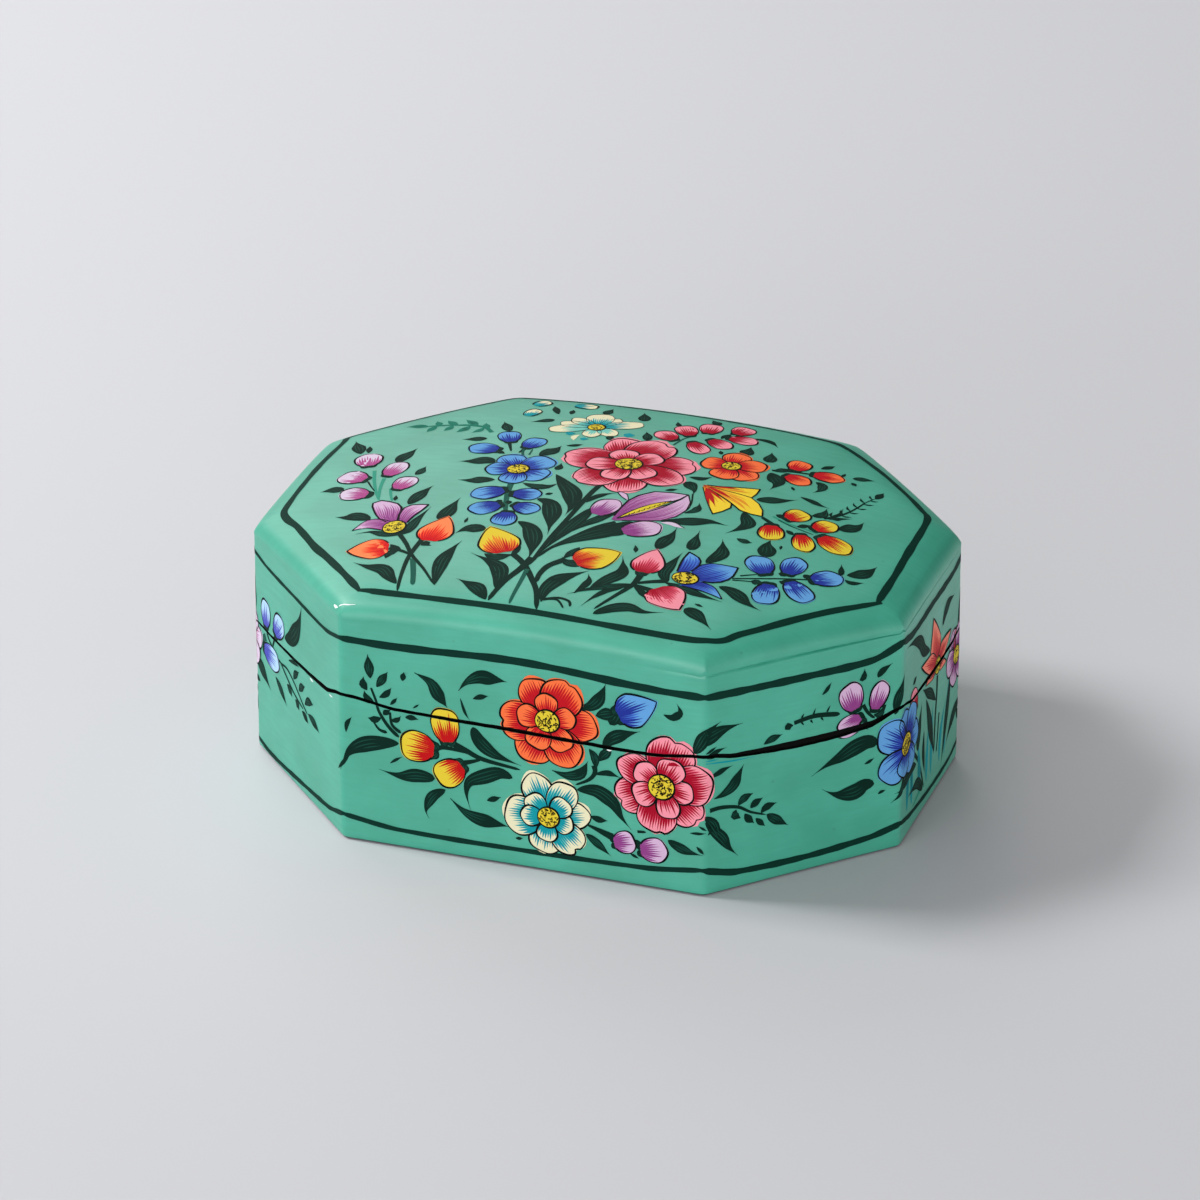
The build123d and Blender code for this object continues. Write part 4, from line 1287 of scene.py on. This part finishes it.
# The line round the crown and the two round the walls, in overlapping strokes. The heights are
# given as for the seam.
stripes = {
    "crown": [  # x and y of each point
        [-38.2, -52.5, -40.9, -49.7, -44.9, -45.5, -50.6, -39.7, -54.9, -35.5, -59.9, -29.7, -62.7,
         -26.5, -65.8, -23.6, -67.9, -20.6, -68.5, -17.1, -68.9, -8.9, -69.1, 4, -68.8, 11, -68.4, 18,
         -69, 22.6],
        [-38.9, -52.2, -36, -52.2, -32.7, -52.4, -20, -52.7, 0, -52.7, 20, -52.9, 35, -52.4, 40, -51.2,
         42.9, -49.4, 45, -46.5, 48.6, -42.5, 54.3, -35.8, 60, -29.4, 64.3, -25, 68.9, -20.2],
        [68.1, -20.9, 68.2, -8.9, 67.9, 0.4, 67.7, 7.6, 67.5, 14.7, 67.1, 20.1, 66.2, 23.6, 64.6, 25.4,
         61.1, 29.7, 56.4, 34.7, 52.9, 38.3, 49.4, 41.5, 45.7, 44.5, 42.1, 47.3, 38, 50.2],
        [40.6, 47.6, 37.6, 50, 28, 51.2, 10, 51.6, -10, 51.8, -28, 51.7, -38.6, 51.4],
        [-36.4, 51.9, -39.4, 51, -45.2, 45.4, -53, 37.8, -60, 30.6, -65.2, 25.4, -68.4, 22.4, -69.1,
         19.6]],
    "crownWidth": 1.6,
    "lid": [
        48.8, 49.8, 48.1, 47.9, 47.65, 47.3, 47.4, 50, 48.7, 48.85, 48.85, 50, 48, 47.8, 48, 50,
        48.6, 49.2, 48.8, 50.2, 48, 47.8, 47.9, 49.6, 48.2, 48.4, 48, 48.8, 47.8, 47.5, 47.35, 48.9],
    "lidWidth": 1.8,
    "base": [
        4.55, 4.3, 4.9, 6.5, 4.4, 3.7, 4.4, 5.8, 4.4, 3.2, 3.2, 4.8, 4.2, 3.8, 4.2, 5.6,
        4.6, 4.3, 4.8, 6, 4.2, 3.6, 3.8, 5, 3.6, 3.2, 2.6, 2.4, 1.6, 2.6, 4.1, 6.3],
    "baseWidth": 1.2,
    "overlap": 1.2,  # how far a stroke runs past the corner
    "tilt": 0.12,  # how far its ends rise or fall
    "uneven": {("lid", "frontLeft"): 0.55, ("base", "frontRight"): 1.3},
}


def ruledStroke(canvas, level, line, width):
    # a long stroke, a little uneven in its width and with soft ends
    swell = hand.uniform(0, 6.28)
    ribbon(canvas, "band", level, line, lambda t: width * min(1.0, 0.4 + 16 * min(t, 1 - t)) * (
        1 + 0.08 * math.sin(23 * t + swell) + 0.06 * math.sin(61 * t + 2 * swell)))


def paintStripes(crown, walls):
    for n, points in enumerate(stripes["crown"]):
        ruledStroke(crown, 0.2 * n, smooth(pairs(points)), stripes["crownWidth"])
    for key in ("lid", "base"):
        height = roundTheBox(stripes[key], crisp=True)
        for i, name in enumerate(sideNames):
            low = sum(cornerSpan[(i - 1) % len(sides)]) / 2 - stripes["overlap"]
            if low > sideMiddle[name]:
                low -= pathLength
            high = sum(cornerSpan[i]) / 2 + stripes["overlap"]
            count = round(high - low)
            tilt = hand.uniform(-stripes["tilt"], stripes["tilt"])
            line = [Vector((u, height(u) + tilt * (2 * k / count - 1)))
                    for k, u in enumerate(low + (high - low) * j / count for j in range(count + 1))]
            width = stripes[key + "Width"] * stripes["uneven"].get((key, name), 1.0)
            ruledStroke(walls, 0.3 * (i % 2), line, width)


def ontoSide(name):
    # turns face coordinates into the distance along the outline and the nominal height
    def move(a, z):
        u = sideMiddle[name] + a
        away = z - seamHeight - seamRise(u)
        return (u, z - seamRise(u) * math.exp(-(away / seam["reach"]) ** 2))
    return move


def cutWalls(mesh, keep):
    # follows the skin's own facets round each corner, and parts the paint at the seam
    bends = [(low + turn, high + turn) for low, high in cornerSpan.values()
             for turn in (-pathLength, 0, pathLength)]
    crossing = {bend: [] for bend in bends}
    for face in mesh.faces:
        along = [v.co.x for v in face.verts]
        for bend in bends:
            if min(along) < bend[1] and max(along) > bend[0]:
                crossing[bend].append(face)
    for (low, high), found in crossing.items():
        parts = list(dict.fromkeys(found + [e for f in found for e in f.edges]
                                   + [v for f in found for v in f.verts]))
        for k in range(outline["arcSteps"] + 1 if parts else 0):
            u = low + (high - low) * k / outline["arcSteps"]
            parts = bmesh.ops.bisect_plane(mesh, geom=parts, dist=1e-6, plane_co=(u, 0, 0),
                                           plane_no=(1, 0, 0))["geom"]
    clear = seamHeight + (seam["cut"] if keep == "above" else -seam["cut"])
    everything = mesh.verts[:] + mesh.edges[:] + mesh.faces[:]
    bmesh.ops.bisect_plane(mesh, geom=everything, dist=1e-6, plane_co=(0, clear, 0),
                           plane_no=(0, 1, 0), clear_inner=keep == "above",
                           clear_outer=keep == "below")


def build(name, canvas, chosen, skinPoint, body, keep=None):
    # makes one piece of the shapes in the chosen pots, laid over the skin
    picked = [i for i, pot in enumerate(canvas.pots) if pot in chosen]
    used = sorted({canvas.pots[i] for i in picked})
    mesh = bmesh.new()
    level = mesh.verts.layers.float.new("level")
    made = {}
    for i in picked:
        corners = []
        for v in canvas.faces[i]:
            if v not in made:
                x, y, coat = canvas.verts[v]
                made[v] = mesh.verts.new((x, y, 0))
                made[v][level] = coat
            corners.append(made[v])
        mesh.faces.new(corners).material_index = used.index(canvas.pots[i])
    if keep:
        cutWalls(mesh, keep)
    for face in mesh.faces:
        if face.normal.z < 0:
            face.normal_flip()
    for vert in mesh.verts:
        vert.co = skinPoint(vert.co.x, vert.co.y, brush["film"] + brush["coat"] * vert[level])
    bmesh.ops.dissolve_degenerate(mesh, dist=1e-7, edges=mesh.edges[:])
    data = bpy.data.meshes.new(name)
    mesh.to_mesh(data)
    mesh.free()
    piece = newObject(name, data, [paints[pot] for pot in used])
    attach(piece, body)
    print(name, "faces:", len(data.polygons))


top, walls = Canvas(), Canvas()
paintStripes(top, walls)
paintTop(top)
# Opposite sides carry the same flowers in other colours.
for side, paintIt, tones in (
        ("front", paintFront, {}), ("frontRight", paintRightCut, {}), ("right", paintRightSide, {}),
        ("backRight", paintLeftCut, {"corner": "lilac", "buds": "cobalt"}),
        ("left", paintRightSide, {"lily": "lilac"}),
        ("back", paintFront, {"first": "lilac", "second": "sky", "third": "orange", "buds": "rose"}),
        ("backLeft", paintRightCut, {"corner": "rose"}), ("frontLeft", paintLeftCut, {})):
    walls.move = ontoSide(side)
    paintIt(walls, **tones)

stripePots, leafPots = ["band"], ["leaf", "leafLight", "stem", "sap", "stain"]
flowerPots = [pot for pot in pots if pot not in stripePots + leafPots]
for sort, slotName, chosen in (("stripes", "leaf_paint", stripePots), ("leaves", "leaf_paint", leafPots),
                               ("flowers", "flower_paint", flowerPots)):
    build("crown_" + sort, top, chosen, crownPoint, "lid")
    build("lid_wall_" + sort, walls, chosen, wallPoint, "lid", "above")
    build("base_wall_" + sort, walls, chosen, wallPoint, "base", "below")

# The table, the light and the camera.
studio = {
    "floor": "#cbccd0",
    "floorSize": 8.0,
    "brightSide": (-0.1, -0.9, 0.3),  # where most of the room's light comes from
    "darkest": -0.35,  # how far from it, as a cosine, the room is darkest
    "worldDark": 0.05,
    "worldBright": 0.72,
    "warm": "#fff1dc",
    "cool": "#f2f6ff",
    "lamps": {  # place, size and power
        "window": ((-1.1, -0.1, 1.1), (0.45, 0.45), 17.0),
        "room": ((0.0, -1.5, 0.28), (1.4, 0.45), 11.5),
        "brightWall": ((-0.8, 0.95, 0.75), (1.1, 0.8), 5.5),
        "ceiling": ((-0.3, 0.7, 1.4), (1.0, 1.0), 2.2),
        "rightWall": ((1.35, 0.2, 0.06), (0.8, 0.1), 4.0),
    },
}
half = studio["floorSize"] / 2
floorMesh = bpy.data.meshes.new("floor")
floorMesh.from_pydata([(-half, -half, 0), (half, -half, 0), (half, half, 0), (-half, half, 0)],
                      [], [(0, 1, 2, 3)])
# a sheet of matt paper
floorMaterial, tree = newMaterial("floor_matt_paper")
shader = addNode(tree, "ShaderNodeBsdfPrincipled", {
    "Base Color": linear(studio["floor"]), "Roughness": 0.7, "Specular IOR Level": 0.2})
addNode(tree, "ShaderNodeOutputMaterial", {"Surface": shader.outputs[0]})
newObject("floor", floorMesh, [floorMaterial])

world = bpy.data.worlds.new("studio")
bpy.context.scene.world = world
world.use_nodes = True
tree = world.node_tree
tree.nodes.clear()
place = addNode(tree, "ShaderNodeTexCoord").outputs["Generated"]
facing = addNode(tree, "ShaderNodeVectorMath", {
    0: place, 1: Vector(studio["brightSide"]).normalized()}, operation="DOT_PRODUCT")
share = addNode(tree, "ShaderNodeMapRange", {
    "Value": facing.outputs["Value"], "From Min": studio["darkest"]})
strength = addNode(tree, "ShaderNodeMapRange", {
    "Value": share.outputs[0], "To Min": studio["worldDark"], "To Max": studio["worldBright"]})
tint = addNode(tree, "ShaderNodeMix", {
    "Factor": share.outputs[0], 6: linear(studio["warm"]), 7: linear(studio["cool"])},
    data_type="RGBA")
light = addNode(tree, "ShaderNodeBackground", {
    "Color": tint.outputs[2], "Strength": strength.outputs[0]})
addNode(tree, "ShaderNodeOutputWorld", {"Surface": light.outputs[0]})

view = {
    "azimuth": 18.6538,
    "elevation": 26.6129,
    "distance": 1.5004,
    "focal": 6786.79,  # in pixels of the frame
    "frameWidth": 1200,
    "aim": (0, 0, 0.030),
    "turnRight": -0.001024,  # as tangents, how far the lens looks past the aim
    "turnUp": 0.00459,
    "sensor": 36,  # mm
}


def putAt(data, place, direction):
    # a lamp or the camera, which looks along the direction
    holder = bpy.data.objects.new(data.name, data)
    bpy.context.scene.collection.objects.link(holder)
    holder.location = place
    holder.rotation_mode = "QUATERNION"
    holder.rotation_quaternion = direction.to_track_quat("-Z", "Y")
    return holder


for name, (spot, size, power) in studio["lamps"].items():
    lamp = bpy.data.lights.new(name, "AREA")
    lamp.shape = "RECTANGLE"
    lamp.size, lamp.size_y = size
    lamp.energy = power
    putAt(lamp, spot, Vector(view["aim"]) - Vector(spot))

azimuth, elevation = math.radians(view["azimuth"]), math.radians(view["elevation"])
back = Vector((math.sin(azimuth) * math.cos(elevation), -math.cos(azimuth) * math.cos(elevation),
               math.sin(elevation)))
right = (-back).cross(Vector((0, 0, 1))).normalized()
above = right.cross(-back)
look = (-back + right * view["turnRight"] + above * view["turnUp"]).normalized()
cameraData = bpy.data.cameras.new("camera")
cameraData.sensor_width = view["sensor"]
cameraData.lens = view["focal"] * view["sensor"] / view["frameWidth"]
cameraData.clip_end = 50
bpy.context.scene.camera = putAt(cameraData, Vector(view["aim"]) + back * view["distance"], look)
bpy.context.scene.view_settings.view_transform = "Standard"

bpy.context.view_layer.update()
print("scene ready")
